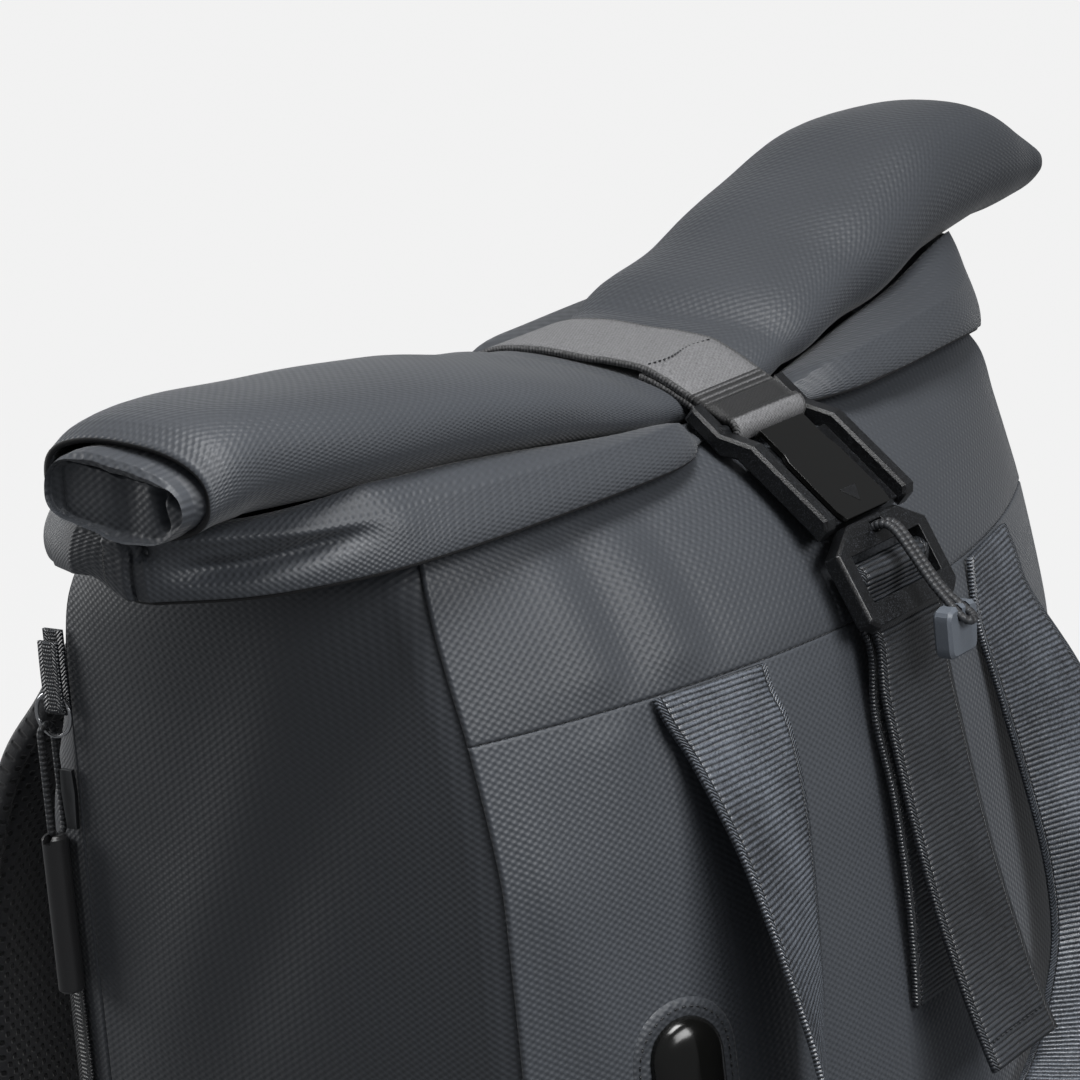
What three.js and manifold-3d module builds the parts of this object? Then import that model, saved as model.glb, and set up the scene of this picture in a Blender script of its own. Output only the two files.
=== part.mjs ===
// A rolltop backpack standing on its flat base: a hollow fabric body, a folded collar, the rolled mouth
// held down by a strap and a slide buckle, a hanging front handle, side hardware and padded shoulder straps.
// Millimetres, +Z up, the front looks along -Y, and the origin is the middle of the base on the floor.
import * as THREE from 'three';
import { mergeVertices } from 'three/addons/utils/BufferGeometryUtils.js';
import Module from 'manifold-3d';

const wasm = await Module();
wasm.setup();

// Body
const bodyWidth = 310; // across the two front ridge seams
const bodyHeight = 402; // floor to the neck's edge inside the collar
const ridgeDepth = 154; // back seam to ridge seam
const frontBulge = 42; // the front's middle ahead of its ridges
const sideFlare = 22; // the side's middle beyond its seams
const gussetDepth = 17; // back gusset that holds the zip
const seamBack = 95; // the back seams behind the middle of the base
const wall = 2;
const yokeDrop = 52; // the seam that carries the handle, below the neck's edge
const yokeSeam = bodyHeight - yokeDrop;

// Collar and roll
const collarLength = 426;
const collarDepth = 141;
const collarMiddle = 15.5; // how far its middle stands behind the origin
const collarHem = bodyHeight; // its lower edge is level with the neck's
const collarHeight = 15;
const rollLength = 448;
const rollDepth = 76;
const rollHeight = 33;
const rollRise = 29; // the roll's middle line above the neck's edge
const rollCentre = bodyHeight + rollRise;
const sheet = 1.6; // rolled cloth
const rollGap = 1; // air between two turns
const rollTurns = 2.05;
const turnReach = 7; // how far the inner turns stand out of the roll's left end

// Webbing and buckle
const strapWidth = 38;
const webbing = 1.8;
const fit = 0.4; // clearance between pieces that touch
const barRadius = 2.2;
const barBehind = 47.5; // the buckle's webbing bar, ahead of the origin
const barRise = 2.5; // that bar above the neck's edge
const barHeight = bodyHeight + barRise;
const sewnDrop = 66; // where the closure strap ends on the back, below the neck's edge
const sewnLow = bodyHeight - sewnDrop;
const coverSlope = 41; // degrees down from level
const baseSlope = 62;
const coverLength = 37;
const coverTop = 24; // width of the cover plate at its top
const coverFoot = 27;
const coverThick = 1.6;
const armThick = 6;
const armRise = 2.4; // how far the arms stand over the cover
const frameThick = 4.6;
const baseLength = 31;
const baseThick = 6;
const windowTop = 9;
const windowFoot = 23.5;
const baseShoulder = 7; // where the base reaches its full width
const baseCorner = 4;
const cordSlot = 6.8; // width of the slot that the cord comes out of
const adjusterS = 15.5; // the adjuster bar, down the base's slope and out of it
const adjusterN = -4.7;
const footTop = -0.6;
const footThick = 3.9;
const edgeBevel = 0.9;
const tailLow = 220; // height of the front strap's hem
const tailKick = 15; // how far the hem stands off the body
const anchorLow = 236; // height where the front strap is sewn to the body
const cordSize = 2.6;
const tabDown = 34; // the tab's top, down the base's slope and out of it
const tabOut = 11;
const tabWidth = 17;
const tabHeight = 15;
const tabThick = 6;

// Handle, cover and side hardware
const handleWidth = 42;
const handleSpread = 160; // between the middles of its two sewn ends
const handleDrop = 166;
const patchWidth = 34;
const patchHeight = 78;
const patchTop = 268;
const patchThick = 1.2;
const coverWidth = 22.5;
const portHeight = 68;
const portRise = 6;
const portSide = 109; // left of the middle
const zipLow = 62;
const zipWidth = 7;
const zipThick = 1.4;
const loopDrop = 34; // the webbing loop's sewn end, below the neck's edge
const loopLength = 23;
const loopTop = bodyHeight - loopDrop;
const loopFold = loopTop - loopLength;
const zipDrop = 41; // the zip's end and its slider's, below the loop's fold
const zipHigh = loopFold - zipDrop;
const sliderDrop = 19;
const sliderTop = loopFold - sliderDrop;
const loopWidth = 7;
const ringRadius = 6.5;
const ringWire = 1.3;
const tubeSize = 7.7;
const tubeLength = 48;
const tubeSlot = 2.4;
const cordRadius = 1; // of the cord loop that holds the tube
const linkLength = 33.8;

// Carrying side
const padWidth = 240;
const padHeight = 312;
const padThick = 11;
const padLift = 16; // its lower edge above the floor
const shoulderWidth = 66;
const shoulderThick = 12;
const shoulderSpread = 124; // between the middles of the two straps' tops
const shoulderReach = 84; // how far they stand off the back
const lowerWidth = 25;
const haulWidth = 25;
const haulSpan = 50;
const haulReach = 26; // how far the haul loop stands off the back
const haulRise = 14;
const haulDrop = 40; // its sewn ends, below the neck's edge
const lowerHeight = 16; // of the lower webbing's sewn ends
const lowerBeside = 14; // those ends beside the back pad
const lowerSpread = padWidth / 2 + lowerBeside;

// Body sections from the floor up, as shares: up of bodyHeight, depth of ridgeDepth, bulge of frontBulge,
// width of bodyWidth, flare of sideFlare, gusset and its inward turn of gussetDepth, lean of seamBack.
const bodySections = [
  { up: 0.0, depth: 0.942, bulge: 0.62, width: 0.945, flare: 0.1, gusset: 0.6, lean: 0.95, turn: 0.25 },
  { up: 0.01, depth: 0.974, bulge: 0.75, width: 0.975, flare: 0.15, gusset: 0.85, lean: 0.985, turn: 0.25 },
  { up: 0.03, depth: 0.993, bulge: 0.85, width: 0.99, flare: 0.2, gusset: 0.97, lean: 1.0, turn: 0.25 },
  { up: 0.149, depth: 1.0, bulge: 0.96, width: 1.0, flare: 0.3, gusset: 1.0, lean: 1.0, turn: 0.25 },
  { up: 0.373, depth: 1.003, bulge: 1.02, width: 1.005, flare: 0.33, gusset: 1.0, lean: 1.0, turn: 0.25 },
  { up: 0.587, depth: 1.0, bulge: 0.95, width: 1.005, flare: 0.35, gusset: 1.0, lean: 1.0, turn: 0.25 },
  { up: 0.734, depth: 0.99, bulge: 0.84, width: 1.003, flare: 0.36, gusset: 1.0, lean: 1.0, turn: 0.25 },
  { up: 0.781, depth: 0.981, bulge: 0.81, width: 1.0, flare: 0.38, gusset: 1.0, lean: 1.0, turn: 0.3 },
  { up: 0.871, depth: 0.935, bulge: 0.845, width: 1.0, flare: 0.45, gusset: 1.0, lean: 1.0, turn: 1.1 },
  { up: 0.908, depth: 0.909, bulge: 0.8, width: 1.0, flare: 0.55, gusset: 0.9, lean: 0.99, turn: 1.4 },
  { up: 0.945, depth: 0.883, bulge: 0.68, width: 0.997, flare: 0.7, gusset: 0.7, lean: 0.955, turn: 1.4 },
  { up: 0.978, depth: 0.864, bulge: 0.42, width: 0.99, flare: 0.8, gusset: 0.5, lean: 0.86, turn: 1.2 },
  { up: 1.0, depth: 0.838, bulge: 0.19, width: 0.965, flare: 0.7, gusset: 0.35, lean: 0.72, turn: 1.0 },
];
const seamShare = 0.975; // the back seams' spread as a share of the ridges'
const frontFacets = 16;
const sideFacets = 7;
const backFacets = 6;

// Collar sections from left to right: along of its half length, front and back of its half depth, low and
// high as shares of collarHeight over its hem, tuck of collarHeight that the back hem stands higher.
const collarSections = [
  { along: -1.0, front: 0.17, back: 0.17, low: -0.13, high: 1.03, tuck: 0.4 },
  { along: -0.94, front: 0.47, back: 0.47, low: -0.13, high: 1.03, tuck: 0.3 },
  { along: -0.87, front: 0.68, back: 0.68, low: -0.07, high: 0.97, tuck: 0.3 },
  { along: -0.775, front: 0.84, back: 0.84, low: 0.0, high: 0.93, tuck: 0.25 },
  { along: -0.56, front: 0.93, back: 0.93, low: 0.0, high: 0.87, tuck: 0.25 },
  { along: -0.28, front: 0.97, back: 0.98, low: 0.0, high: 0.74, tuck: 0.25 },
  { along: -0.19, front: 0.93, back: 1.0, low: 0.0, high: 0.66, tuck: 0.25 },
  { along: -0.118, front: 0.82, back: 1.0, low: 0.03, high: 0.24, tuck: 0 },
  { along: 0.0, front: 0.82, back: 1.0, low: 0.03, high: 0.24, tuck: 0 },
  { along: 0.118, front: 0.82, back: 1.0, low: 0.03, high: 0.24, tuck: 0 },
  { along: 0.19, front: 0.93, back: 1.0, low: 0.1, high: 0.66, tuck: 0.2 },
  { along: 0.28, front: 0.97, back: 0.98, low: 0.13, high: 0.8, tuck: 0.15 },
  { along: 0.56, front: 0.91, back: 0.93, low: 0.17, high: 1.0, tuck: 0.1 },
  { along: 0.7, front: 0.78, back: 0.8, low: -0.03, high: 1.06, tuck: 0.2 },
  { along: 0.79, front: 0.62, back: 0.62, low: -0.3, high: 1.12, tuck: 0.2 },
  { along: 0.865, front: 0.44, back: 0.45, low: -0.6, high: 1.12, tuck: 0.2 },
  { along: 0.925, front: 0.17, back: 0.17, low: -0.8, high: 1.12, tuck: 0.2 },
];
const collarLean = 4.5; // how far its rim leans in

// Roll sections from left to right: along of the half length, shift of rollDepth backwards, rise of
// rollHeight, deep of the half depth, tall of the half height, and tilt in degrees.
const rollSections = [
  { along: -1.0, shift: -0.033, rise: 0.03, deep: 0.75, tall: 0.836, tilt: 6 },
  { along: -0.964, shift: -0.033, rise: 0.091, deep: 0.803, tall: 0.97, tilt: 3 },
  { along: -0.893, shift: -0.026, rise: 0.109, deep: 0.842, tall: 1.018, tilt: 1 },
  { along: -0.737, shift: -0.039, rise: 0.03, deep: 0.947, tall: 1.006, tilt: 1 },
  { along: -0.571, shift: -0.026, rise: -0.061, deep: 1.0, tall: 0.945, tilt: 2 },
  { along: -0.402, shift: -0.013, rise: -0.188, deep: 1.026, tall: 0.861, tilt: 4 },
  { along: -0.246, shift: 0.02, rise: -0.364, deep: 1.0, tall: 0.745, tilt: 6 },
  { along: -0.112, shift: 0.033, rise: -0.5, deep: 1.0, tall: 0.606, tilt: 8 },
  { along: 0.0, shift: 0.039, rise: -0.561, deep: 1.0, tall: 0.576, tilt: 8 },
  { along: 0.112, shift: 0.039, rise: -0.485, deep: 1.0, tall: 0.667, tilt: 8 },
  { along: 0.223, shift: 0.053, rise: -0.324, deep: 1.0, tall: 0.806, tilt: 8 },
  { along: 0.357, shift: 0.066, rise: -0.121, deep: 1.0, tall: 1.03, tilt: 7 },
  { along: 0.513, shift: 0.079, rise: 0.091, deep: 1.0, tall: 1.242, tilt: 6 },
  { along: 0.67, shift: 0.079, rise: 0.388, deep: 0.974, tall: 1.442, tilt: 4 },
  { along: 0.826, shift: 0.053, rise: 0.503, deep: 0.895, tall: 1.406, tilt: 0 },
  { along: 0.906, shift: 0.026, rise: 0.455, deep: 0.816, tall: 1.273, tilt: -2 },
  { along: 0.969, shift: 0.0, rise: 0.348, deep: 0.711, tall: 0.97, tilt: -5 },
  { along: 1.013, shift: -0.066, rise: 0.273, deep: 0.553, tall: 0.655, tilt: -8 },
  { along: 1.038, shift: -0.105, rise: 0.273, deep: 0.382, tall: 0.485, tilt: -10 },
];
const rollSteps = 44;
const rollStart = -60; // degrees, where the outer turn begins under the roll's back

// Handle sections from a sewn end to the middle of its loop: down of handleDrop, side of half the spread,
// off of the webbing's width beyond the body's front, twist in degrees.
const handleSections = [
  { down: 0, side: 1, off: 0.036, twist: -14 },
  { down: 0.048, side: 0.985, off: 0.052, twist: -10 },
  { down: 0.12, side: 0.95, off: 0.1, twist: -6 },
  { down: 0.277, side: 0.985, off: 0.286, twist: 8.5 },
  { down: 0.53, side: 1.058, off: 0.51, twist: 26 },
  { down: 0.705, side: 1.079, off: 0.583, twist: 36 },
  { down: 0.813, side: 0.97, off: 0.595, twist: 46 },
  { down: 0.916, side: 0.727, off: 0.58, twist: 60 },
  { down: 0.976, side: 0.388, off: 0.57, twist: 76 },
  { down: 1.0, side: 0, off: 0.57, twist: 90 },
];

// Shoulder strap sections from the top down: out of shoulderReach behind the body, up of bodyHeight, side of
// half the spread, wide of shoulderWidth.
const shoulderSections = [
  { out: 0.081, up: 0.831, side: 1, wide: 1 },
  { out: 0.088, up: 0.858, side: 1, wide: 1 },
  { out: 0.143, up: 0.878, side: 1, wide: 1 },
  { out: 0.25, up: 0.879, side: 1, wide: 1 },
  { out: 0.374, up: 0.856, side: 1, wide: 1 },
  { out: 0.577, up: 0.8, side: 1.02, wide: 1 },
  { out: 0.78, up: 0.744, side: 1.05, wide: 1 },
  { out: 0.929, up: 0.652, side: 1.1, wide: 1 },
  { out: 1.0, up: 0.552, side: 1.17, wide: 0.98 },
  { out: 0.964, up: 0.448, side: 1.25, wide: 0.94 },
  { out: 0.833, up: 0.348, side: 1.35, wide: 0.86 },
  { out: 0.667, up: 0.269, side: 1.45, wide: 0.74 },
  { out: 0.536, up: 0.214, side: 1.5, wide: 0.62 },
];

const degrees = Math.PI / 180;
const root = new THREE.Group();

const materials = {
  fabric: new THREE.MeshStandardMaterial({ color: 0x46494d, roughness: 0.55, metalness: 0 }),
  webbing: new THREE.MeshStandardMaterial({ color: 0x33363a, roughness: 0.6, metalness: 0 }),
  plastic: new THREE.MeshStandardMaterial({ color: 0x121315, roughness: 0.35, metalness: 0 }),
  metal: new THREE.MeshStandardMaterial({ color: 0x8a8c90, roughness: 0.3, metalness: 1 }),
  mesh: new THREE.MeshStandardMaterial({ color: 0x141517, roughness: 0.9, metalness: 0 }),
};

function addPiece(name, geometry, material) {
  const mesh = new THREE.Mesh(geometry, material);
  mesh.name = name;
  root.add(mesh);
  return mesh;
}

// One value of a table of sections between its two nearest rows.
function readTable(rows, key, at, column) {
  let row = 1;
  while (row < rows.length - 1 && rows[row][key] < at) {
    row += 1;
  }
  const before = rows[row - 1];
  const after = rows[row];
  const share = (at - before[key]) / (after[key] - before[key]);
  return before[column] + (after[column] - before[column]) * share;
}

// The triangles that fill a flat ring of points.
function fillRing(ring) {
  const normal = new THREE.Vector3();
  const middle = new THREE.Vector3();
  ring.forEach((point, i) => {
    const next = ring[(i + 1) % ring.length];
    normal.add(new THREE.Vector3().crossVectors(point, next));
    middle.add(point);
  });
  middle.divideScalar(ring.length);
  normal.normalize();
  const first = ring[0].clone().sub(middle).projectOnPlane(normal).normalize();
  const second = new THREE.Vector3().crossVectors(normal, first);
  const flat = ring.map((point) => {
    const from = point.clone().sub(middle);
    return new THREE.Vector2(from.dot(first), from.dot(second));
  });
  return THREE.ShapeUtils.triangulateShape(flat, []);
}

function signedVolume(positions, faces) {
  const corner = (i) => new THREE.Vector3().fromArray(positions, 3 * i);
  let volume = 0;
  for (let f = 0; f < faces.length; f += 3) {
    const across = new THREE.Vector3().crossVectors(corner(faces[f + 1]), corner(faces[f + 2]));
    volume += corner(faces[f]).dot(across) / 6;
  }
  return volume;
}

function geometryFrom(positions, faces) {
  const turned = signedVolume(positions, faces) < 0;
  const index = turned ? faces.slice().reverse() : faces;
  const geometry = new THREE.BufferGeometry();
  geometry.setAttribute('position', new THREE.Float32BufferAttribute(positions, 3));
  geometry.setIndex(index);
  geometry.computeVertexNormals();
  return geometry;
}

// A closed solid through rings of points: its two ends are filled, or the last ring joins the first. The second
// half of a ring, or of the rings, is split along the other diagonal, so the two faces of a wall stay parallel.
function loft(rings, closed = false) {
  const count = rings[0].length;
  const positions = rings.flat().flatMap((point) => [point.x, point.y, point.z]);
  const faces = [];
  const joins = closed ? rings.length : rings.length - 1;
  for (let r = 0; r < joins; r += 1) {
    const here = r * count;
    const next = ((r + 1) % rings.length) * count;
    for (let i = 0; i < count; i += 1) {
      const j = (i + 1) % count;
      const turned = (r >= rings.length / 2) !== (i >= count / 2);
      if (turned) {
        faces.push(here + i, here + j, next + i);
        faces.push(here + j, next + j, next + i);
      } else {
        faces.push(here + i, here + j, next + j);
        faces.push(here + i, next + j, next + i);
      }
    }
  }
  if (!closed) {
    const last = (rings.length - 1) * count;
    fillRing(rings[0]).forEach(([a, b, c]) => faces.push(c, b, a));
    fillRing(rings[rings.length - 1]).forEach(([a, b, c]) => faces.push(last + a, last + b, last + c));
  }
  return geometryFrom(positions, faces);
}

// The same outline moved inwards by a wall, in its own flat plane.
function insetOutline(outline, distance) {
  let area = 0;
  outline.forEach((point, i) => {
    const next = outline[(i + 1) % outline.length];
    area += point.x * next.y - next.x * point.y;
  });
  const inward = Math.sign(area) * distance;
  return outline.map((point, i) => {
    const before = outline[(i + outline.length - 1) % outline.length];
    const after = outline[(i + 1) % outline.length];
    const a = new THREE.Vector2(point.x - before.x, point.y - before.y).normalize();
    const b = new THREE.Vector2(after.x - point.x, after.y - point.y).normalize();
    const normal = new THREE.Vector2(-a.y - b.y, a.x + b.x).normalize();
    const widen = Math.max(normal.x * -a.y + normal.y * a.x, 0.5);
    return new THREE.Vector3(
      point.x + (normal.x * inward) / widen,
      point.y + (normal.y * inward) / widen,
      point.z,
    );
  });
}

// A solid for manifold-3d from a geometry, and back.
function toSolid(geometry) {
  const bare = geometry.clone();
  bare.deleteAttribute('normal');
  bare.deleteAttribute('uv');
  const merged = mergeVertices(bare, 1e-4);
  const triVerts = new Uint32Array(merged.index.array);
  return new wasm.Manifold(
    new wasm.Mesh({ numProp: 3, vertProperties: merged.attributes.position.array, triVerts }),
  );
}

function fromSolid(solid) {
  const { vertProperties, triVerts } = solid.getMesh();
  return geometryFrom(Array.from(vertProperties), Array.from(triVerts));
}

function join(...geometries) {
  return fromSolid(geometries.map(toSolid).reduce((whole, part) => whole.add(part)));
}

function cut(geometry, ...tools) {
  return fromSolid(tools.map(toSolid).reduce((whole, tool) => whole.subtract(tool), toSolid(geometry)));
}

// Body

function bodyAt(height, column) {
  return readTable(bodySections, 'up', height / bodyHeight, column);
}

function ridgeHalf(height) {
  return (bodyWidth / 2) * bodyAt(height, 'width');
}

function ridgeY(height) {
  return seamBack - ridgeDepth * bodyAt(height, 'depth');
}

function seamY(height) {
  return seamBack * bodyAt(height, 'lean');
}

function backY(height) {
  return seamY(height) + gussetDepth * bodyAt(height, 'gusset');
}

function frontY(x, height) {
  const share = x / ridgeHalf(height);
  return ridgeY(height) - frontBulge * bodyAt(height, 'bulge') * (1 - share * share);
}

// The body's outline at one height, from the left ridge across the front and round the back.
function bodyOutline(height) {
  const half = ridgeHalf(height);
  const seamHalf = half * seamShare;
  const flare = sideFlare * bodyAt(height, 'flare');
  const front = [];
  for (let i = 0; i <= frontFacets; i += 1) {
    const x = half * ((2 * i) / frontFacets - 1);
    front.push(new THREE.Vector3(x, frontY(x, height), height));
  }
  const right = [];
  for (let i = 1; i <= sideFacets; i += 1) {
    const share = i / sideFacets;
    const x = half + (seamHalf - half) * share + flare * Math.sin(Math.PI * share);
    const y = ridgeY(height) + (seamY(height) - ridgeY(height)) * share;
    right.push(new THREE.Vector3(x, y, height));
  }
  const back = [];
  const backHalf = seamHalf - gussetDepth * bodyAt(height, 'turn');
  for (let i = 0; i <= backFacets; i += 1) {
    back.push(new THREE.Vector3(backHalf * (1 - (2 * i) / backFacets), backY(height), height));
  }
  const left = right.map((point) => new THREE.Vector3(-point.x, point.y, height)).reverse();
  return [...front, ...right, ...back, ...left];
}

function makeBody() {
  const outer = bodySections.map((row) => bodyOutline(row.up * bodyHeight));
  const heights = bodySections.slice(1).map((row) => Math.max(row.up * bodyHeight, wall));
  heights[0] = wall;
  const inner = heights.map((height) => insetOutline(bodyOutline(height), wall));
  inner[0].forEach((point) => {
    point.z = wall;
  });
  return loft([...outer, ...inner.reverse()]);
}

addPiece('bag_body', makeBody(), materials.fabric);

// Roll

function rollAt(x, column) {
  return readTable(rollSections, 'along', x / (rollLength / 2), column);
}

// A point of the roll's section at one place along it, at an angle, moved in by an inset.
function rollPoint(x, angle, inset) {
  const across = (rollDepth / 2) * rollAt(x, 'deep') - inset;
  const tall = (rollHeight / 2) * rollAt(x, 'tall') - inset;
  const tilt = rollAt(x, 'tilt') * degrees;
  const y = across * Math.cos(angle);
  const z = tall * Math.sin(angle);
  return new THREE.Vector2(
    rollDepth * rollAt(x, 'shift') + y * Math.cos(tilt) - z * Math.sin(tilt),
    rollCentre + rollHeight * rollAt(x, 'rise') + y * Math.sin(tilt) + z * Math.cos(tilt),
  );
}

// Height of the roll's top or underside over a place in plan.
function rollSurface(x, y, side) {
  const tilt = rollAt(x, 'tilt') * degrees;
  const across = (rollDepth / 2) * rollAt(x, 'deep');
  const share = THREE.MathUtils.clamp((y - rollDepth * rollAt(x, 'shift')) / across, -1, 1);
  const turned = side > 0 ? sheet / 2 : sheet * THREE.MathUtils.clamp(0.5 - 2 * share, 0, 1);
  const tall = (rollHeight / 2) * rollAt(x, 'tall') * Math.sqrt(1 - share * share) - turned;
  const middle = rollCentre + rollHeight * rollAt(x, 'rise');
  return middle + across * share * Math.tan(tilt) + side * tall;
}

function rollRing(along) {
  const x = (rollLength / 2) * along;
  const pitch = sheet + rollGap;
  const line = [];
  for (let i = 0; i <= rollSteps; i += 1) {
    const turn = (rollTurns * i) / rollSteps;
    line.push(rollPoint(x, rollStart * degrees + turn * 2 * Math.PI, sheet / 2 + pitch * turn));
  }
  const outer = [];
  const inner = [];
  line.forEach((point, i) => {
    const before = line[Math.max(i - 1, 0)];
    const after = line[Math.min(i + 1, rollSteps)];
    const normal = new THREE.Vector2(after.y - before.y, before.x - after.x).normalize();
    const reach = along < 0 ? -turnReach * (i / rollSteps) * along ** 8 : 0;
    outer.push(new THREE.Vector3(x + reach, point.x + (normal.x * sheet) / 2, point.y + (normal.y * sheet) / 2));
    inner.push(new THREE.Vector3(x + reach, point.x - (normal.x * sheet) / 2, point.y - (normal.y * sheet) / 2));
  });
  return [...outer, ...inner.reverse()];
}

addPiece('rolled_top', loft(rollSections.map((row) => rollRing(row.along))), materials.fabric);

// The tucked gusset inside each end of the roll.
function makeTuck(side) {
  const inset = (sheet + rollGap) * rollTurns + sheet + 2 * fit;
  const depths = [0, 0.02, 0.1, 0.16];
  const taper = [0.86, 1, 1, 0.9];
  const end = side < 0 ? 1 : 0.985;
  const rings = depths.map((depth, r) => {
    const x = side * (rollLength / 2) * (end - depth);
    const ring = [];
    for (let i = 0; i < 16; i += 1) {
      const angle = (2 * Math.PI * i) / 16;
      const middle = rollPoint(x, 0, 0).add(rollPoint(x, Math.PI, 0)).divideScalar(2);
      const point = rollPoint(x, angle, inset).sub(middle).multiplyScalar(taper[r]).add(middle);
      ring.push(new THREE.Vector3(x, point.x, point.y));
    }
    return ring;
  });
  return loft(rings);
}

addPiece('roll_tuck_left', makeTuck(-1), materials.fabric);
addPiece('roll_tuck_right', makeTuck(1), materials.fabric);

// Collar: a band that goes round the neck, from its hem up to a rim under the roll.

function collarPoint(along, side, level) {
  const read = (column) => readTable(collarSections, 'along', along, column);
  const reach = read(side < 0 ? 'front' : 'back');
  const half = (collarDepth / 2) * reach - collarLean * level * Math.min(1, 2 * reach);
  const x = (collarLength / 2) * along;
  const y = collarMiddle + side * half;
  const low = collarHem + collarHeight * (read('low') + (side > 0 ? read('tuck') : 0));
  const under = rollSurface(x, y, -1) - 2 * fit;
  const high = Math.min(collarHem + collarHeight * read('high'), under);
  return new THREE.Vector3(x, y, low + (high - low) * level);
}

// The collar's rim goes on inwards as a roof that meets the roll's underside.
function mouthPoint(along, side) {
  const rim = collarPoint(along, side, 1);
  const x = rim.x - Math.sign(rim.x) * collarLean * Math.abs(along) ** 6;
  const under = rollDepth * (rollAt(x, 'shift') + side * 0.42 * rollAt(x, 'deep'));
  const inside = rim.y - side * Math.min(collarLean, Math.abs(rim.y - collarMiddle) / 2);
  const y = side < 0 ? Math.max(inside, under) : Math.min(inside, under);
  return new THREE.Vector3(x, y, rollSurface(x, y, -1) - 2 * fit);
}

function collarRing(pointAt) {
  const front = collarSections.map((row) => pointAt(row.along, -1));
  const back = collarSections.map((row) => pointAt(row.along, 1)).reverse();
  return [...front, ...back];
}

function makeCollar() {
  const outer = [0, 0.35, 0.7, 1].map((level) => collarRing((along, side) => collarPoint(along, side, level)));
  const mouth = collarRing(mouthPoint);
  const inner = outer.map((ring) => insetOutline(ring, wall)).reverse();
  const drop = (ring, distance) => ring.map((point) => point.clone().setZ(point.z - distance));
  inner[0] = drop(inner[0], wall * 0.8);
  return loft([...outer, mouth, drop(mouth, wall), ...inner], true);
}

addPiece('collar_fold', makeCollar(), materials.fabric);

// Webbing: a strip along sections that each give a middle, the direction of its width and its width. A level
// section keeps that direction, and any other is turned square to the strip.
function strip(sections, thickness) {
  const rings = sections.map((section, i) => {
    const before = sections[Math.max(i - 1, 0)].middle;
    const after = sections[Math.min(i + 1, sections.length - 1)].middle;
    const along = after.clone().sub(before).normalize();
    const across = section.across.clone().normalize();
    if (!section.level) {
      across.projectOnPlane(along).normalize();
    }
    const up = new THREE.Vector3().crossVectors(along, across).normalize();
    const half = section.width / 2;
    const corner = (u, v) => section.middle.clone()
      .addScaledVector(across, u * half)
      .addScaledVector(up, (v * thickness) / 2);
    return [corner(-1, -1), corner(1, -1), corner(1, 1), corner(-1, 1)];
  });
  return loft(rings);
}

// A strip whose width runs along X, through points given as y, z and its tilt in degrees.
function levelStrip(points, width, thickness) {
  return strip(points.map(([y, z, tilted = 0]) => {
    const tilt = tilted * degrees;
    return {
      middle: new THREE.Vector3(0, y, z),
      across: new THREE.Vector3(Math.cos(tilt), 0, Math.sin(tilt)),
      width,
    };
  }), thickness);
}

// Closure strap: from the back over the roll, round the bar and back under itself. Each point is its y, z
// and the tilt of its width, which follows the roll's rise from side to side.
function overRoll(y, stand) {
  const left = rollSurface(-strapWidth / 2, y, 1);
  const right = rollSurface(strapWidth / 2, y, 1);
  const middle = Math.max(rollSurface(0, y, 1), (left + right) / 2);
  return [y, middle + stand + fit / 2, Math.atan2(right - left, strapWidth) / degrees];
}

function closurePath() {
  const stand = fit + webbing / 2;
  const layer = webbing + 2 * fit;
  const points = [];
  for (const height of [sewnLow, yokeSeam, 0.908 * bodyHeight, 0.945 * bodyHeight]) {
    points.push([backY(height) + stand + fit, height, 0]);
  }
  const collarBack = collarMiddle + collarDepth / 2;
  points.push([Math.max(collarBack, backY(0.978 * bodyHeight)) + stand + 1, 0.978 * bodyHeight, 0]);
  points.push([collarBack + stand + 0.4, collarHem + collarHeight * 0.25, 0]);
  points.push([collarBack - collarLean, collarHem + collarHeight * 0.24 + stand + 3, 0]);
  const rollBack = rollDepth * (rollAt(0, 'shift') + 0.5);
  const [, backZ, backTilt] = overRoll(rollBack * 0.96, stand);
  points.push([rollBack + stand + 2, backZ - 3, backTilt]);
  for (const share of [0.96, 0.85, 0.65, 0.35, 0]) {
    points.push(overRoll(rollBack * share, stand));
  }
  for (const share of [0.16, 0.4, 0.52, 0.66]) {
    points.push(overRoll(-barBehind * share, stand + layer * Math.min(1, share * 2.5)));
  }
  const bend = barRadius + stand + fit / 4;
  for (const angle of [105, 70, 35, 0, -35, -70, -105, -140]) {
    const from = (180 - angle) * degrees;
    points.push([-barBehind + bend * Math.cos(from), barHeight + bend * Math.sin(from), 0]);
  }
  const [, noseZ, noseTilt] = overRoll(-barBehind * 0.66, stand);
  points.push([-barBehind * 0.8, noseZ - webbing * 2.3, noseTilt / 2]);
  for (const share of [0.66, 0.52, 0.4]) {
    points.push(overRoll(-barBehind * share, stand));
  }
  return points;
}

addPiece('closure_strap', levelStrip(closurePath(), strapWidth, webbing), materials.webbing);

// Buckle: each half is drawn in its own sloping plane, s down the slope and n out of it.
function slopeFrame(y, z, slope) {
  const angle = slope * degrees;
  const down = new THREE.Vector3(0, -Math.cos(angle), -Math.sin(angle));
  const out = new THREE.Vector3(0, -Math.sin(angle), Math.cos(angle));
  const matrix = new THREE.Matrix4().makeBasis(new THREE.Vector3(-1, 0, 0), down, out);
  matrix.setPosition(0, y, z);
  return matrix;
}

// A plate drawn as x and s, as thick as given, with its outer face at n = top.
function plate(outline, thickness, top, bevel = 0) {
  const shape = new THREE.Shape(outline.map(([x, s]) => new THREE.Vector2(x, s)));
  const geometry = new THREE.ExtrudeGeometry(shape, {
    depth: thickness - 2 * bevel,
    bevelEnabled: bevel > 0,
    bevelThickness: bevel,
    bevelSize: bevel,
    bevelOffset: -bevel,
    bevelSegments: 1,
    steps: 1,
  });
  geometry.translate(0, 0, top - thickness + bevel);
  return geometry;
}

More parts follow.
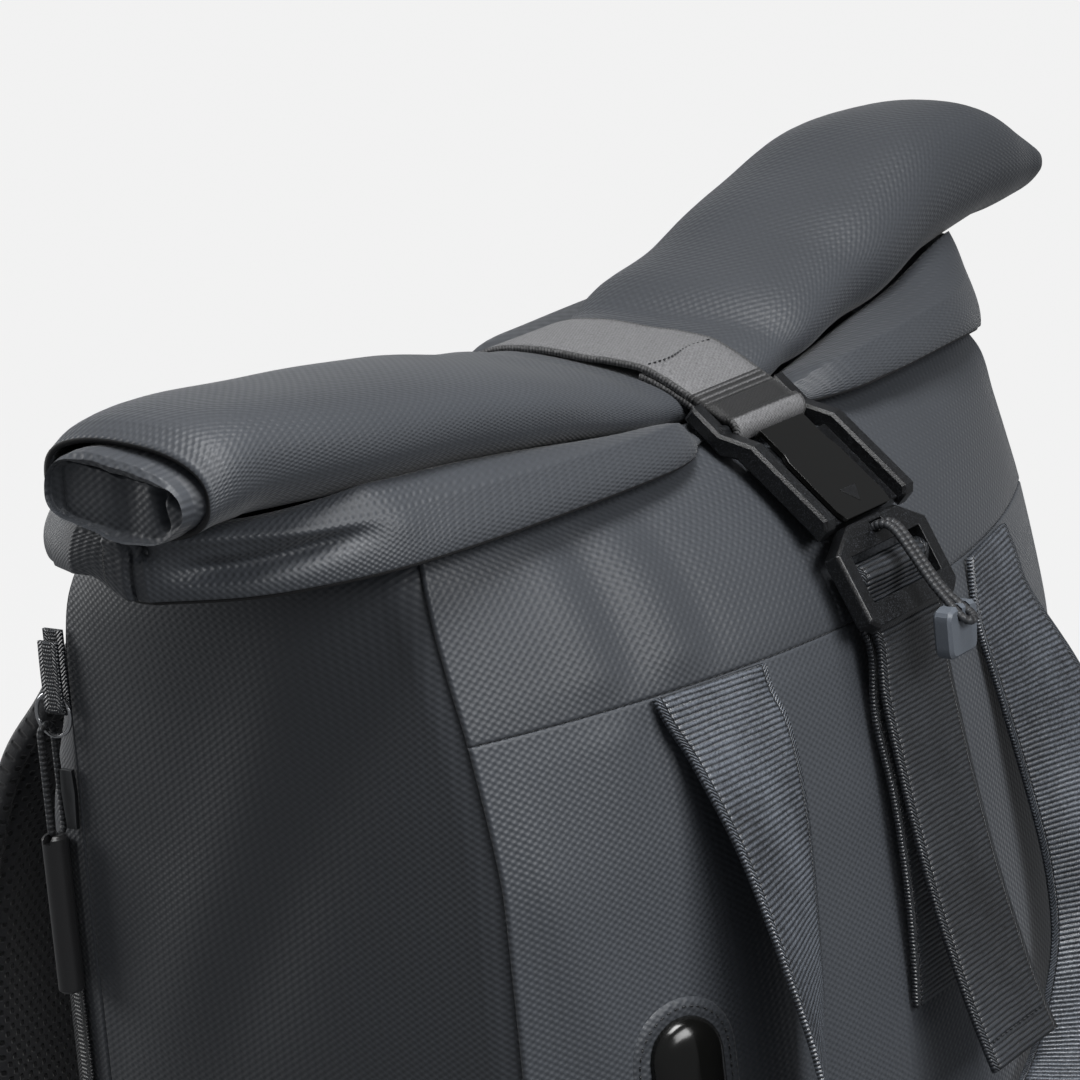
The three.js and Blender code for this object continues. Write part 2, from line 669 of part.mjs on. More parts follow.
// A rail drawn as s and n, from one x to another.
function rail(outline, x, width, bevel) {
  const shape = new THREE.Shape(outline.map(([s, n]) => new THREE.Vector2(s, n)));
  const geometry = new THREE.ExtrudeGeometry(shape, {
    depth: width - 2 * bevel,
    bevelEnabled: true,
    bevelThickness: bevel,
    bevelSize: bevel,
    bevelOffset: -bevel,
    bevelSegments: 1,
    steps: 1,
  });
  const turn = new THREE.Matrix4().makeBasis(
    new THREE.Vector3(0, 1, 0),
    new THREE.Vector3(0, 0, 1),
    new THREE.Vector3(1, 0, 0),
  );
  geometry.applyMatrix4(turn);
  geometry.translate(x + bevel, 0, 0);
  return geometry;
}

function barAlongX(s, n, radius, length, sides = 14) {
  const geometry = new THREE.CylinderGeometry(radius, radius, length, sides);
  geometry.rotateZ(Math.PI / 2);
  geometry.translate(0, s, n);
  return geometry;
}

const upper = slopeFrame(-barBehind - 7.5, barHeight - 0.5, coverSlope);
const barS = -5.99;
const barN = -4.54;
const armInside = strapWidth / 2 + 0.5;

function makeBuckleFrame() {
  const arm = [
    [barS - 10.5, barN - 3.2],
    [barS - 10.5, barN + 1.9],
    [barS + 1, barN + 1.8],
    [coverLength * 0.14, armRise],
    [coverLength * 0.97, armRise],
    [coverLength * 1.02, 0],
    [coverLength * 1.02, -frameThick],
    [coverLength * 0.1, -frameThick],
    [barS + 5, barN - 3.4],
  ];
  const left = rail(arm, -armInside - armThick, armThick, edgeBevel);
  const right = rail(arm, armInside, armThick, edgeBevel);
  const bar = barAlongX(barS, barN, barRadius, 2 * armInside + armThick);
  const bodyTop = -coverThick - fit;
  const middle = plate([
    [-armInside - 1, coverLength * 0.14],
    [armInside + 1, coverLength * 0.14],
    [armInside + 1, coverLength * 0.98],
    [-armInside - 1, coverLength * 0.98],
  ], frameThick, bodyTop);
  return join(left, right, bar, middle);
}

function makeBuckleCover() {
  const narrow = coverTop / 2;
  const wide = coverFoot / 2;
  const notch = 1.2;
  const main = plate([
    [-narrow, 0],
    [narrow, 0],
    [narrow, coverLength * 0.28],
    [narrow + notch, coverLength * 0.36],
    [wide, coverLength * 0.9],
    [wide - notch, coverLength],
    [notch - wide, coverLength],
    [-wide, coverLength * 0.9],
    [-narrow - notch, coverLength * 0.36],
    [-narrow, coverLength * 0.28],
  ], coverThick, 0);
  const lip = plate([
    [-narrow, -0.1],
    [narrow, -0.1],
    [narrow, 1.4],
    [-narrow, 1.4],
  ], coverThick * 2, 0);
  return join(main, lip);
}

addPiece('buckle_frame', makeBuckleFrame(), materials.plastic).applyMatrix4(upper);
addPiece('buckle_cover', makeBuckleCover(), materials.plastic).applyMatrix4(upper);

const coverEnd = new THREE.Vector3(0, coverLength, 0).applyMatrix4(upper);
const lower = slopeFrame(coverEnd.y - 0.6, coverEnd.z - 0.9, baseSlope);

function makeBuckleBase() {
  const neck = coverFoot / 2;
  const outside = armInside + armThick;
  const outline = [
    [-neck, 0.4],
    [neck, 0.4],
    [outside, baseShoulder],
    [outside, baseLength - baseCorner * 0.75],
    [outside - baseCorner, baseLength],
    [baseCorner - outside, baseLength],
    [-outside, baseLength - baseCorner * 0.75],
    [-outside, baseShoulder],
  ];
  const block = plate(outline, baseThick, 0, edgeBevel);
  const opening = plate([
    [-armInside, windowTop],
    [armInside, windowTop],
    [armInside, windowFoot],
    [-armInside, windowFoot],
  ], baseThick * 3, baseThick);
  const under = plate([
    [-armInside, windowFoot - 1],
    [armInside, windowFoot - 1],
    [armInside, baseLength + 2],
    [-armInside, baseLength + 2],
  ], baseThick * 2, footTop - footThick);
  const slot = plate([
    [-cordSlot / 2, baseShoulder * 0.31],
    [cordSlot / 2, baseShoulder * 0.31],
    [cordSlot / 2, baseShoulder * 0.8],
    [-cordSlot / 2, baseShoulder * 0.8],
  ], baseThick, baseThick - 2.4);
  return cut(block, opening, under, slot);
}

addPiece('buckle_base', makeBuckleBase(), materials.plastic).applyMatrix4(lower);
addPiece('adjuster_bar', barAlongX(adjusterS, adjusterN, barRadius, 2 * armInside - 2 * fit), materials.plastic)
  .applyMatrix4(lower);

// Front strap: up from the body behind the foot of the base, round the adjuster bar, down as a tail.
function frontStrapPath() {
  const local = [];
  const bend = barRadius + 1.3 * fit + webbing / 2;
  const behind = footTop - footThick - fit - webbing / 2;
  local.push([baseLength + 4, behind - 3.6]);
  local.push([adjusterS + 8, behind - 3.1]);
  for (const angle of [75, 110, 145, 180, 215, 250, 285]) {
    const from = angle * degrees;
    local.push([adjusterS - bend * Math.sin(from - Math.PI / 2), adjusterN - bend * Math.cos(from - Math.PI / 2)]);
  }
  local.push([adjusterS + 5.4, behind + 0.9]);
  local.push([windowFoot, behind]);
  local.push([baseLength + 3, behind - 0.1]);
  const turned = local.map(([s, n]) => {
    const point = new THREE.Vector3(0, s, n).applyMatrix4(lower);
    return [point.y, point.z];
  });
  const anchor = [];
  for (const share of [0, 0.12, 0.35, 0.6, 0.82]) {
    const height = anchorLow + (turned[0][1] - anchorLow) * share;
    const off = fit + webbing / 2 + 3.2 * Math.sin(Math.PI * share);
    anchor.push([frontY(0, height) - off, height]);
  }
  const tail = [];
  const end = turned[turned.length - 1];
  for (const share of [0.12, 0.25, 0.42, 0.62, 0.8, 0.93, 1]) {
    const height = end[1] + (tailLow - end[1]) * share;
    const off = 7 + 3.5 * share + tailKick * share ** 3;
    tail.push([Math.min(frontY(0, height) - off, end[0] - 4 * share), height]);
  }
  return [...anchor, ...turned, ...tail];
}

addPiece('front_strap', levelStrip(frontStrapPath(), strapWidth, webbing), materials.webbing);

// Pull cord: its two strands leave the slot, pass over the window and hold a moulded tab.
// Points of the left strand, as the side share of the cord's size, s and n in the base's plane.
const cordPoints = [
  [-0.55, 3.9, -1.9],
  [-0.55, 4.0, 1.2],
  [-0.55, 5.2, 3.9],
  [-0.55, 8.6, 5.6],
  [-0.55, 14, 6.5],
  [-0.55, 20, 7.4],
  [-0.55, 26, 8.4],
  [-0.58, 31, 9.8],
  [-0.8, 35.2, 11.4],
  [-1.0, 38.2, 12.8],
  [-0.6, 40.2, 13.8],
];

function cordCurve() {
  const strand = cordPoints.map(([x, s, n]) => new THREE.Vector3(x * cordSize, s, n).applyMatrix4(lower));
  const back = strand.map((point) => new THREE.Vector3(-point.x, point.y, point.z)).reverse();
  return new THREE.CatmullRomCurve3([...strand, ...back]);
}

function tube(curve, radius, sides, steps) {
  const section = new THREE.Shape();
  for (let i = 0; i < sides; i += 1) {
    const angle = (2 * Math.PI * i) / sides;
    const [u, v] = [radius * Math.cos(angle), radius * Math.sin(angle)];
    if (i === 0) {
      section.moveTo(u, v);
    } else {
      section.lineTo(u, v);
    }
  }
  return new THREE.ExtrudeGeometry(section, { steps, extrudePath: curve, bevelEnabled: false });
}

const cord = cordCurve();
addPiece('pull_cord', tube(cord, cordSize / 2, 8, 26), materials.webbing);

function makeTab() {
  const top = new THREE.Vector3(0, tabDown, tabOut).applyMatrix4(lower);
  const shape = new THREE.Shape();
  const half = tabWidth / 2;
  const round = 3.6;
  shape.moveTo(round - half, 0);
  shape.lineTo(half - round, 0);
  shape.quadraticCurveTo(half, 0, half, -round);
  shape.lineTo(half - 0.6, round - tabHeight);
  shape.quadraticCurveTo(half - 0.6, -tabHeight, half - round, -tabHeight);
  shape.lineTo(round - half, -tabHeight);
  shape.quadraticCurveTo(0.6 - half, -tabHeight, 0.6 - half, round - tabHeight);
  shape.lineTo(-half, -round);
  shape.quadraticCurveTo(-half, 0, round - half, 0);
  const block = new THREE.ExtrudeGeometry(shape, {
    depth: tabThick - 2,
    bevelThickness: 1,
    bevelSize: 1,
    bevelOffset: -1,
    bevelSegments: 1,
    curveSegments: 4,
  });
  block.translate(0, 0, 1 - tabThick / 2);
  block.rotateX(Math.PI / 2);
  block.translate(0, top.y, top.z);
  return cut(block, tube(cord, cordSize / 2 + fit, 8, 26));
}

addPiece('pull_tab', makeTab(), materials.plastic);

// Handle: a strip from one sewn end to the other, lying flat at the seam and edgewise at its middle.
function handleSection(row, side) {
  const height = yokeSeam - handleDrop * row.down;
  const x = side * (handleSpread / 2) * row.side;
  const twist = row.twist * degrees;
  return {
    middle: new THREE.Vector3(x, frontY(x, height) - handleWidth * row.off, height),
    across: new THREE.Vector3(Math.cos(twist), -side * Math.sin(twist), 0),
    width: handleWidth,
    level: true,
  };
}

// Rows between the given ones, on a smooth line through them.
function smoothRows(rows, between) {
  const columns = Object.keys(rows[0]);
  const result = [];
  for (let i = 0; i < rows.length - 1; i += 1) {
    const near = [rows[Math.max(i - 1, 0)], rows[i], rows[i + 1], rows[Math.min(i + 2, rows.length - 1)]];
    for (let j = 0; j < between; j += 1) {
      const t = j / between;
      const row = {};
      columns.forEach((column) => {
        const [a, b, c, d] = near.map((from) => from[column]);
        row[column] = b + 0.5 * t * (c - a + t * (2 * a - 5 * b + 4 * c - d + t * (3 * (b - c) + d - a)));
      });
      result.push(row);
    }
  }
  return [...result, rows[rows.length - 1]];
}

function makeHandle() {
  const rows = smoothRows(handleSections, 3);
  const left = rows.map((row) => handleSection(row, -1));
  const right = rows.slice(0, -1).map((row) => handleSection(row, 1)).reverse();
  right.forEach((section) => section.across.negate());
  return strip([...left, ...right], webbing);
}

addPiece('front_handle', makeHandle(), materials.webbing);

// Port cover on its stitched patch, laid on the front beside the left ridge.
function onFront(geometry, x, height) {
  const step = 4;
  const slope = (frontY(x + step, height) - frontY(x - step, height)) / (2 * step);
  const lean = (frontY(x, height + step) - frontY(x, height - step)) / (2 * step);
  const across = new THREE.Vector3(1, slope, 0).normalize();
  const up = new THREE.Vector3(0, lean, 1).projectOnPlane(across).normalize();
  const out = new THREE.Vector3().crossVectors(across, up);
  const matrix = new THREE.Matrix4().makeBasis(across, up, out);
  matrix.setPosition(x, frontY(x, height), height);
  geometry.applyMatrix4(matrix);
  return geometry;
}

function arched(width, height, steps) {
  const points = [];
  const radius = width / 2;
  for (let i = 0; i <= steps; i += 1) {
    const angle = (Math.PI * i) / steps;
    points.push([radius * Math.cos(angle), height / 2 - radius + radius * Math.sin(angle)]);
  }
  for (let i = 0; i <= steps; i += 1) {
    const angle = Math.PI + (Math.PI * i) / steps;
    points.push([radius * Math.cos(angle), radius - height / 2 + radius * Math.sin(angle)]);
  }
  return points;
}

const patchMiddle = patchTop - patchHeight / 2;
const patch = plate(arched(patchWidth, patchHeight, 8), patchThick, patchThick + fit);
addPiece('port_patch', onFront(patch, -portSide, patchMiddle), materials.fabric);

function makePortCover() {
  const levels = [[0, 1], [0.45, 0.97], [0.8, 0.8], [1, 0.45]];
  const base = patchThick + 2 * fit;
  const rings = levels.map(([rise, share]) => arched(coverWidth, portHeight, 8).map(([x, y]) => {
    const narrowed = Math.sign(y) * Math.max(Math.abs(y) - (coverWidth / 2) * (1 - share), 0);
    return new THREE.Vector3(x * share, narrowed, base + portRise * rise);
  }));
  return onFront(loft(rings), -portSide, patchMiddle);
}

addPiece('port_cover', makePortCover(), materials.plastic);

// Side zip in the left gusset, with its slider.
const gussetX = -(bodyWidth / 2) * seamShare;

function gussetSide(height, behind) {
  const half = ridgeHalf(height) * seamShare;
  const share = behind / (gussetDepth * bodyAt(height, 'gusset'));
  return -(half - gussetDepth * bodyAt(height, 'turn') * share);
}

function makeZip() {
  const behind = gussetDepth * 0.6;
  const sections = [];
  for (const share of [0, 0.35, 0.69, 0.92, 1]) {
    const height = zipLow + (zipHigh - zipLow) * share;
    const turn = bodyAt(height, 'turn');
    const off = (2 * fit + zipThick / 2) / Math.sqrt(1 + turn * turn);
    sections.push({
      middle: new THREE.Vector3(gussetSide(height, behind) - off, seamY(height) + behind + off * turn, height),
      across: new THREE.Vector3(turn, 1, 0),
      width: zipWidth,
    });
  }
  return strip(sections, zipThick);
}

addPiece('side_zip', makeZip(), materials.webbing);

const hangY = seamBack + gussetDepth * 0.41;
const hangX = gussetX - 5.4;

// A plate drawn as y and z and as wide as given along X.
function slab(outline, x, width) {
  const shape = new THREE.Shape(outline.map(([y, z]) => new THREE.Vector2(y, z)));
  const geometry = new THREE.ExtrudeGeometry(shape, { depth: width, bevelEnabled: false });
  geometry.applyMatrix4(new THREE.Matrix4().makeBasis(
    new THREE.Vector3(0, 1, 0),
    new THREE.Vector3(0, 0, 1),
    new THREE.Vector3(1, 0, 0),
  ));
  geometry.translate(x, 0, 0);
  return geometry;
}

const sliderY = seamBack + gussetDepth * 0.17;
const slider = slab([
  [sliderY - 2.2, sliderTop],
  [sliderY + 2.2, sliderTop],
  [sliderY + 2.6, sliderTop - 7],
  [sliderY + 1.8, sliderTop - 18],
  [sliderY - 1.8, sliderTop - 18],
  [sliderY - 2.6, sliderTop - 7],
], gussetX - fit - zipThick - 0.5, 1.6);
addPiece('zip_slider', slider, materials.metal);

// Webbing loop: a doubled strip that hangs from the back seam and holds the wire ring.
const loopY = seamBack + gussetDepth * 0.12;
const loopX = gussetX - 3.2;
const loopThick = webbing * 0.6;
const foldRadius = (ringWire + fit + loopThick) / 2;

function makeSideLoop() {
  const points = [[loopX + foldRadius, loopTop], [loopX + foldRadius, loopFold + 6]];
  for (let i = 0; i <= 4; i += 1) {
    const angle = (Math.PI * i) / 4;
    points.push([loopX + foldRadius * Math.cos(angle), loopFold - foldRadius * Math.sin(angle)]);
  }
  points.push([loopX - foldRadius, loopFold + 6]);
  points.push([loopX - foldRadius + 0.2, loopTop - 3]);
  return strip(points.map(([px, pz]) => ({
    middle: new THREE.Vector3(px, loopY, pz),
    across: new THREE.Vector3(0, 1, 0),
    width: loopWidth,
  })), loopThick);
}

addPiece('side_loop', makeSideLoop(), materials.webbing);

function wireLoop(points, radius, sides, steps) {
  const curve = new THREE.CatmullRomCurve3(points, true);
  const rings = [];
  for (let i = 0; i < steps; i += 1) {
    const at = i / steps;
    const middle = curve.getPointAt(at);
    const along = curve.getTangentAt(at);
    const side = new THREE.Vector3(1, 0, 0).projectOnPlane(along).normalize();
    const other = new THREE.Vector3().crossVectors(along, side);
    const ring = [];
    for (let j = 0; j < sides; j += 1) {
      const angle = (2 * Math.PI * j) / sides;
      ring.push(middle.clone()
        .addScaledVector(side, radius * Math.cos(angle))
        .addScaledVector(other, radius * Math.sin(angle)));
    }
    rings.push(ring);
  }
  return loft(rings, true);
}

// A ring or a link with straight sides, in the plane of Y and Z: its bend, half its length and its wire.
function uprightLoop(bend, half, radius, steps) {
  const points = [];
  for (let i = 0; i < 12; i += 1) {
    const angle = (2 * Math.PI * (i + 0.5)) / 12;
    const straight = Math.sign(Math.cos(angle)) * (half - bend);
    points.push(new THREE.Vector3(0, bend * Math.sin(angle), straight + bend * Math.cos(angle)));
  }
  return wireLoop(points, radius, 6, steps);
}

const foldInside = loopFold - foldRadius + loopThick / 2;
const ringY = loopY + 2;
const ringZ = foldInside - Math.sqrt(ringRadius ** 2 - (loopWidth / 2 + 2) ** 2) + ringWire + 2 * fit;
const ring = uprightLoop(ringRadius, ringRadius, ringWire / 2, 20);
addPiece('loop_ring', ring, materials.metal).position.set(loopX, ringY, ringZ);

const ringFoot = ringZ - Math.sqrt(ringRadius ** 2 - (hangY - ringY) ** 2);
const linkTop = ringFoot + ringWire / 2 + cordRadius + 3 * fit;
const linkLow = linkTop - linkLength;
const tubeTop = linkLow + tubeSlot - cordRadius - fit;
const link = uprightLoop(2.4, (linkTop - linkLow) / 2, cordRadius, 22);
link.rotateZ(Math.PI / 2);
const linkMesh = addPiece('pull_loop', link, materials.webbing);
linkMesh.position.set(loopX - 1.5 * fit, hangY, (linkTop + linkLow) / 2);

// Tube puller: a capped cylinder with a slot across its top that the cord loop hangs in.
function makeTube() {
  const body = new THREE.LatheGeometry([
    new THREE.Vector2(0, 0),
    new THREE.Vector2(tubeSize / 2 - 0.7, 0),
    new THREE.Vector2(tubeSize / 2, 0.7),
    new THREE.Vector2(tubeSize / 2, tubeLength - 1),
    new THREE.Vector2(tubeSize / 2 - 1, tubeLength),
    new THREE.Vector2(0, tubeLength),
  ], 18);
  body.rotateX(Math.PI / 2);
  body.translate(0, 0, -tubeLength);
  const slot = new THREE.BoxGeometry(tubeSize * 2, cordRadius * 2 + 2 * fit, tubeSlot * 2);
  return cut(body, slot);
}

addPiece('pull_tube', makeTube(), materials.metal).position.set(hangX, hangY, tubeTop);

// Back pad and shoulder straps.
function roundedBox(width, height, thickness, corner, bevel) {
  const shape = new THREE.Shape();
  const [w, h] = [width / 2, height / 2];
  shape.moveTo(-w + corner, -h);
  shape.lineTo(w - corner, -h);
  shape.quadraticCurveTo(w, -h, w, -h + corner);
  shape.lineTo(w, h - corner);
  shape.quadraticCurveTo(w, h, w - corner, h);
  shape.lineTo(-w + corner, h);
  shape.quadraticCurveTo(-w, h, -w, h - corner);
  shape.lineTo(-w, -h + corner);
  shape.quadraticCurveTo(-w, -h, -w + corner, -h);
  return new THREE.ExtrudeGeometry(shape, {
    depth: thickness - 2 * bevel,
    bevelThickness: bevel,
    bevelSize: bevel,
    bevelOffset: -bevel,
    bevelSegments: 2,
    curveSegments: 4,
  }).translate(0, 0, bevel);
}

const pad = roundedBox(padWidth, padHeight, padThick, 26, 3);
pad.rotateX(Math.PI / 2);
pad.rotateZ(Math.PI);
const backPad = addPiece('back_pad', pad, materials.mesh);
backPad.position.set(0, backY(bodyHeight / 2) + fit, padLift + padHeight / 2);

function shoulderSection(row, side) {
  return {
    middle: new THREE.Vector3(
      side * (shoulderSpread / 2) * row.side,
      seamBack + gussetDepth + shoulderReach * row.out,
      bodyHeight * row.up,
    ),
    width: shoulderWidth * row.wide,
  };
}

function makeShoulder(side) {
  const sections = shoulderSections.map((row) => shoulderSection(row, side));
  const rings = sections.map((section, i) => {
    const before = sections[Math.max(i - 1, 0)].middle;
    const after = sections[Math.min(i + 1, sections.length - 1)].middle;
    const along = after.clone().sub(before).normalize();
    const across = new THREE.Vector3(1, 0, 0).projectOnPlane(along).normalize();
    const up = new THREE.Vector3().crossVectors(along, across);
    const half = section.width / 2;
    const thick = shoulderThick / 2;
    const ringShape = [
      [-1, 0.35], [-0.86, 1], [-0.4, 1.06], [0.4, 1.06], [0.86, 1], [1, 0.35],
      [1, -0.35], [0.86, -1], [0.4, -1.06], [-0.4, -1.06], [-0.86, -1], [-1, -0.35],
    ];
    return ringShape.map(([u, v]) => section.middle.clone()
      .addScaledVector(across, u * half)
      .addScaledVector(up, v * thick));
  });
  return loft(rings);
}

addPiece('shoulder_strap_left', makeShoulder(-1), materials.mesh);
addPiece('shoulder_strap_right', makeShoulder(1), materials.mesh);

// Lower webbing: from each shoulder strap's end to the body's lower back corner.

function makeLowerWebbing(side) {
  const rows = shoulderSections.slice(-2).map((row) => shoulderSection(row, side).middle);
  const along = rows[1].clone().sub(rows[0]).normalize();
  const start = rows[1].clone().addScaledVector(along, fit);
  const leave = start.clone().addScaledVector(along, lowerWidth / 4);
  const seat = new THREE.Vector3(side * lowerSpread, backY(lowerHeight) + fit + webbing / 2, lowerHeight);
  const curve = new THREE.CatmullRomCurve3([
    leave,
    seat.clone().add(new THREE.Vector3(-side, lowerWidth * 0.5, lowerWidth)),
    seat.clone().add(new THREE.Vector3(0, webbing / 2, lowerWidth * 0.35)),
    seat,
  ]);
  const sections = [start, ...curve.getPoints(9)].map((point) => ({
    middle: point,
    across: new THREE.Vector3(1, 0, 0),
    width: lowerWidth,
  }));
  return strip(sections, webbing);
}

addPiece('lower_webbing_left', makeLowerWebbing(-1), materials.webbing);
addPiece('lower_webbing_right', makeLowerWebbing(1), materials.webbing);

// Haul loop: a short arch of webbing at the top of the back.
function makeHaulLoop() {
  const sections = [];
  const steps = 12;
  const foot = bodyHeight - haulDrop;
  for (let i = 0; i <= steps; i += 1) {
    const share = (2 * i) / steps - 1;
    const rise = Math.sqrt(Math.max(1 - share ** 4, 0));
    const x = (haulSpan / 2) * share;
    sections.push({
      middle: new THREE.Vector3(
        x,
        backY(foot) + 2 * fit + webbing + haulReach * rise,
        foot + haulRise * rise,
      ),
      across: new THREE.Vector3(0, -0.35, 1),
      width: haulWidth,
    });
  }
  return strip(sections, webbing);
}

addPiece('haul_loop', makeHaulLoop(), materials.webbing);

export default root;
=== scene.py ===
from math import atan2, copysign, cos, exp, hypot, pi, radians, sin, sqrt, tan
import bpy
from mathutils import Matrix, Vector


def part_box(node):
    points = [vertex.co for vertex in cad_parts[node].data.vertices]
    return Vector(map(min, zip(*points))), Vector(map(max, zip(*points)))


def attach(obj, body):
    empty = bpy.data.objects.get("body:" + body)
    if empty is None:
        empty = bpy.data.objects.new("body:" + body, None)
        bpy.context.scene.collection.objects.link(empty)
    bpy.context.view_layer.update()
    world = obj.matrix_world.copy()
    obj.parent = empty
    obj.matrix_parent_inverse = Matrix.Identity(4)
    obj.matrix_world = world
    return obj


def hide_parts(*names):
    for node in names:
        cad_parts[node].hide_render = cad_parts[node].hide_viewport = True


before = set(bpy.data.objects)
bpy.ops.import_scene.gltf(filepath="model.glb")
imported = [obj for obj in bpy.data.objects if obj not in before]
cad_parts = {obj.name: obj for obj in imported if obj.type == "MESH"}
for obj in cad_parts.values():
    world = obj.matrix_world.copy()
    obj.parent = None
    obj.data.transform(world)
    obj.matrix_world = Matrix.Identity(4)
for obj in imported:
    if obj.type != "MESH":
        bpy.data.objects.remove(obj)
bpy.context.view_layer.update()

from types import SimpleNamespace

import bmesh
import bpy
from bpy.props import FloatProperty, FloatVectorProperty, PointerProperty
from mathutils import Matrix, Vector, noise

bl_info = {
    "name": "Rolltop backpack",
    "version": (1, 0, 0),
    "blender": (4, 5, 0),
    "location": "View3D > Sidebar > Backpack",
    "description": "Dresses the packed backpack in cloth, webbing and moulded hardware",
    "category": "Object",
}

MM = 0.001

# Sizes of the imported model, in millimetres: +Z up, the front looks along -Y.
BODY_WIDTH, BODY_HEIGHT, RIDGE_DEPTH = 310, 402, 154
FRONT_BULGE, SIDE_FLARE, GUSSET, SEAM_BACK = 42, 22, 17, 95
SEAM_SHARE, YOKE = 0.975, 350
COLLAR_LENGTH, COLLAR_DEPTH, COLLAR_MIDDLE = 426, 141, 15.5
COLLAR_HEM, COLLAR_HEIGHT, COLLAR_LEAN = 402, 15, 4.5
ROLL_LENGTH, ROLL_DEPTH, ROLL_HEIGHT, ROLL_CENTRE = 448, 76, 33, 431
SHEET, ROLL_GAP, ROLL_TURNS = 1.6, 1.0, 2.05
STRAP, WEBBING, FIT = 38, 1.8, 0.4
BAR_BEHIND, BAR_HEIGHT, BAR_RADIUS, SEWN_LOW = 47.5, 404.5, 2.2, 336
COVER_LENGTH, BASE_LENGTH, WINDOW_FOOT = 37, 31, 23.5
ADJUSTER_S, ADJUSTER_N, FOOT_TOP, FOOT_THICK = 15.5, -4.7, -0.6, 3.9
TAIL_LOW, TAIL_KICK, ANCHOR_LOW, CORD = 220, 15, 236, 2.6
HANDLE_WIDTH, HANDLE_SPREAD, HANDLE_DROP = 42, 160, 166
PORT_SIDE, PORT_MIDDLE, PATCH_WIDTH, PATCH_HEIGHT = 109, 229, 34, 78
COVER_WIDTH, PORT_HEIGHT, PORT_RISE, PATCH_THICK = 22.5, 68, 6, 1.2
ZIP_LOW, ZIP_HIGH, ZIP_WIDTH = 62, 304, 7
SHOULDER_WIDTH, SHOULDER_THICK, SHOULDER_SPREAD, SHOULDER_REACH = 66, 12, 124, 84
PAD_WIDTH, PAD_HEIGHT, PAD_THICK, PAD_LIFT = 240, 312, 11, 16
LOOP_WIDTH, LOOP_TOP, LOOP_FOLD, RING_WIRE, CORD_LOOP = 7, 368, 345, 1.3, 1
LOOP_THICK = WEBBING * 0.6
LOOP_X, LOOP_Y = -BODY_WIDTH / 2 * SEAM_SHARE - 3.2, SEAM_BACK + GUSSET * 0.12
SIDE_WEBBING, LOWER_SIDE, LOWER_HEIGHT = 25, 134, 16
SEWN_LINE, PORT_SINK, SHOULDER_RUN = -21, 0.4, 330
HAUL_HALF, HAUL_REACH, HAUL_RISE, HAUL_FOOT = 25, 26, 14, BODY_HEIGHT - 40
INSIDE = (0, 20, 200)

# The camera: degrees left of the front, up and rolled, its distance and lens, and what it aims at.
CAMERA_TURN, CAMERA_LIFT, CAMERA_ROLL = 54, 14, 4.5
CAMERA_DISTANCE, CAMERA_LENS, CAMERA_AIM = 1080, 120.67, (-27.5, 15, 369.5)


class Profile:
    """Rows of named columns, read smoothly between them by their first column."""

    def __init__(self, columns, *rows):
        self.columns = columns.split()
        self.rows = rows
        self.known = {}

    def at(self, key):
        key = round(key, 5)
        if key not in self.known:
            self.known[key] = SimpleNamespace(**dict(zip(self.columns, self.between(key))))
        return self.known[key]

    def between(self, key):
        rows = self.rows
        i = 1
        while i < len(rows) - 1 and rows[i][0] < key:
            i += 1
        before, low, high, after = rows[max(i - 2, 0)], rows[i - 1], rows[i], rows[min(i + 1, len(rows) - 1)]
        step = high[0] - low[0]
        t = min(max((key - low[0]) / step, 0), 1)
        for a, b, c, d in zip(before, low, high, after):
            leave = step * (c - a) / (high[0] - before[0])
            arrive = step * (d - b) / (after[0] - low[0])
            yield (
                b * (2 * t ** 3 - 3 * t ** 2 + 1) + leave * (t ** 3 - 2 * t ** 2 + t)
                + c * (3 * t ** 2 - 2 * t ** 3) + arrive * (t ** 3 - t ** 2)
            )


BODY = Profile(
    "up depth bulge width flare gusset lean turn",
    (0.0, 0.942, 0.62, 0.945, 0.1, 0.6, 0.95, 0.25),
    (0.01, 0.974, 0.75, 0.975, 0.15, 0.85, 0.985, 0.25),
    (0.03, 0.993, 0.85, 0.99, 0.2, 0.97, 1.0, 0.25),
    (0.149, 1.0, 0.96, 1.0, 0.3, 1.0, 1.0, 0.25),
    (0.373, 1.003, 1.02, 1.005, 0.33, 1.0, 1.0, 0.25),
    (0.587, 1.0, 0.95, 1.005, 0.35, 1.0, 1.0, 0.25),
    (0.734, 0.99, 0.84, 1.003, 0.36, 1.0, 1.0, 0.25),
    (0.781, 0.981, 0.81, 1.0, 0.38, 1.0, 1.0, 0.3),
    (0.871, 0.935, 0.845, 1.0, 0.45, 1.0, 1.0, 1.1),
    (0.908, 0.909, 0.8, 1.0, 0.55, 0.9, 0.99, 1.4),
    (0.945, 0.883, 0.68, 0.997, 0.7, 0.7, 0.955, 1.4),
    (0.978, 0.864, 0.42, 0.99, 0.8, 0.5, 0.86, 1.2),
    (1.0, 0.838, 0.19, 0.965, 0.7, 0.35, 0.72, 1.0),
)
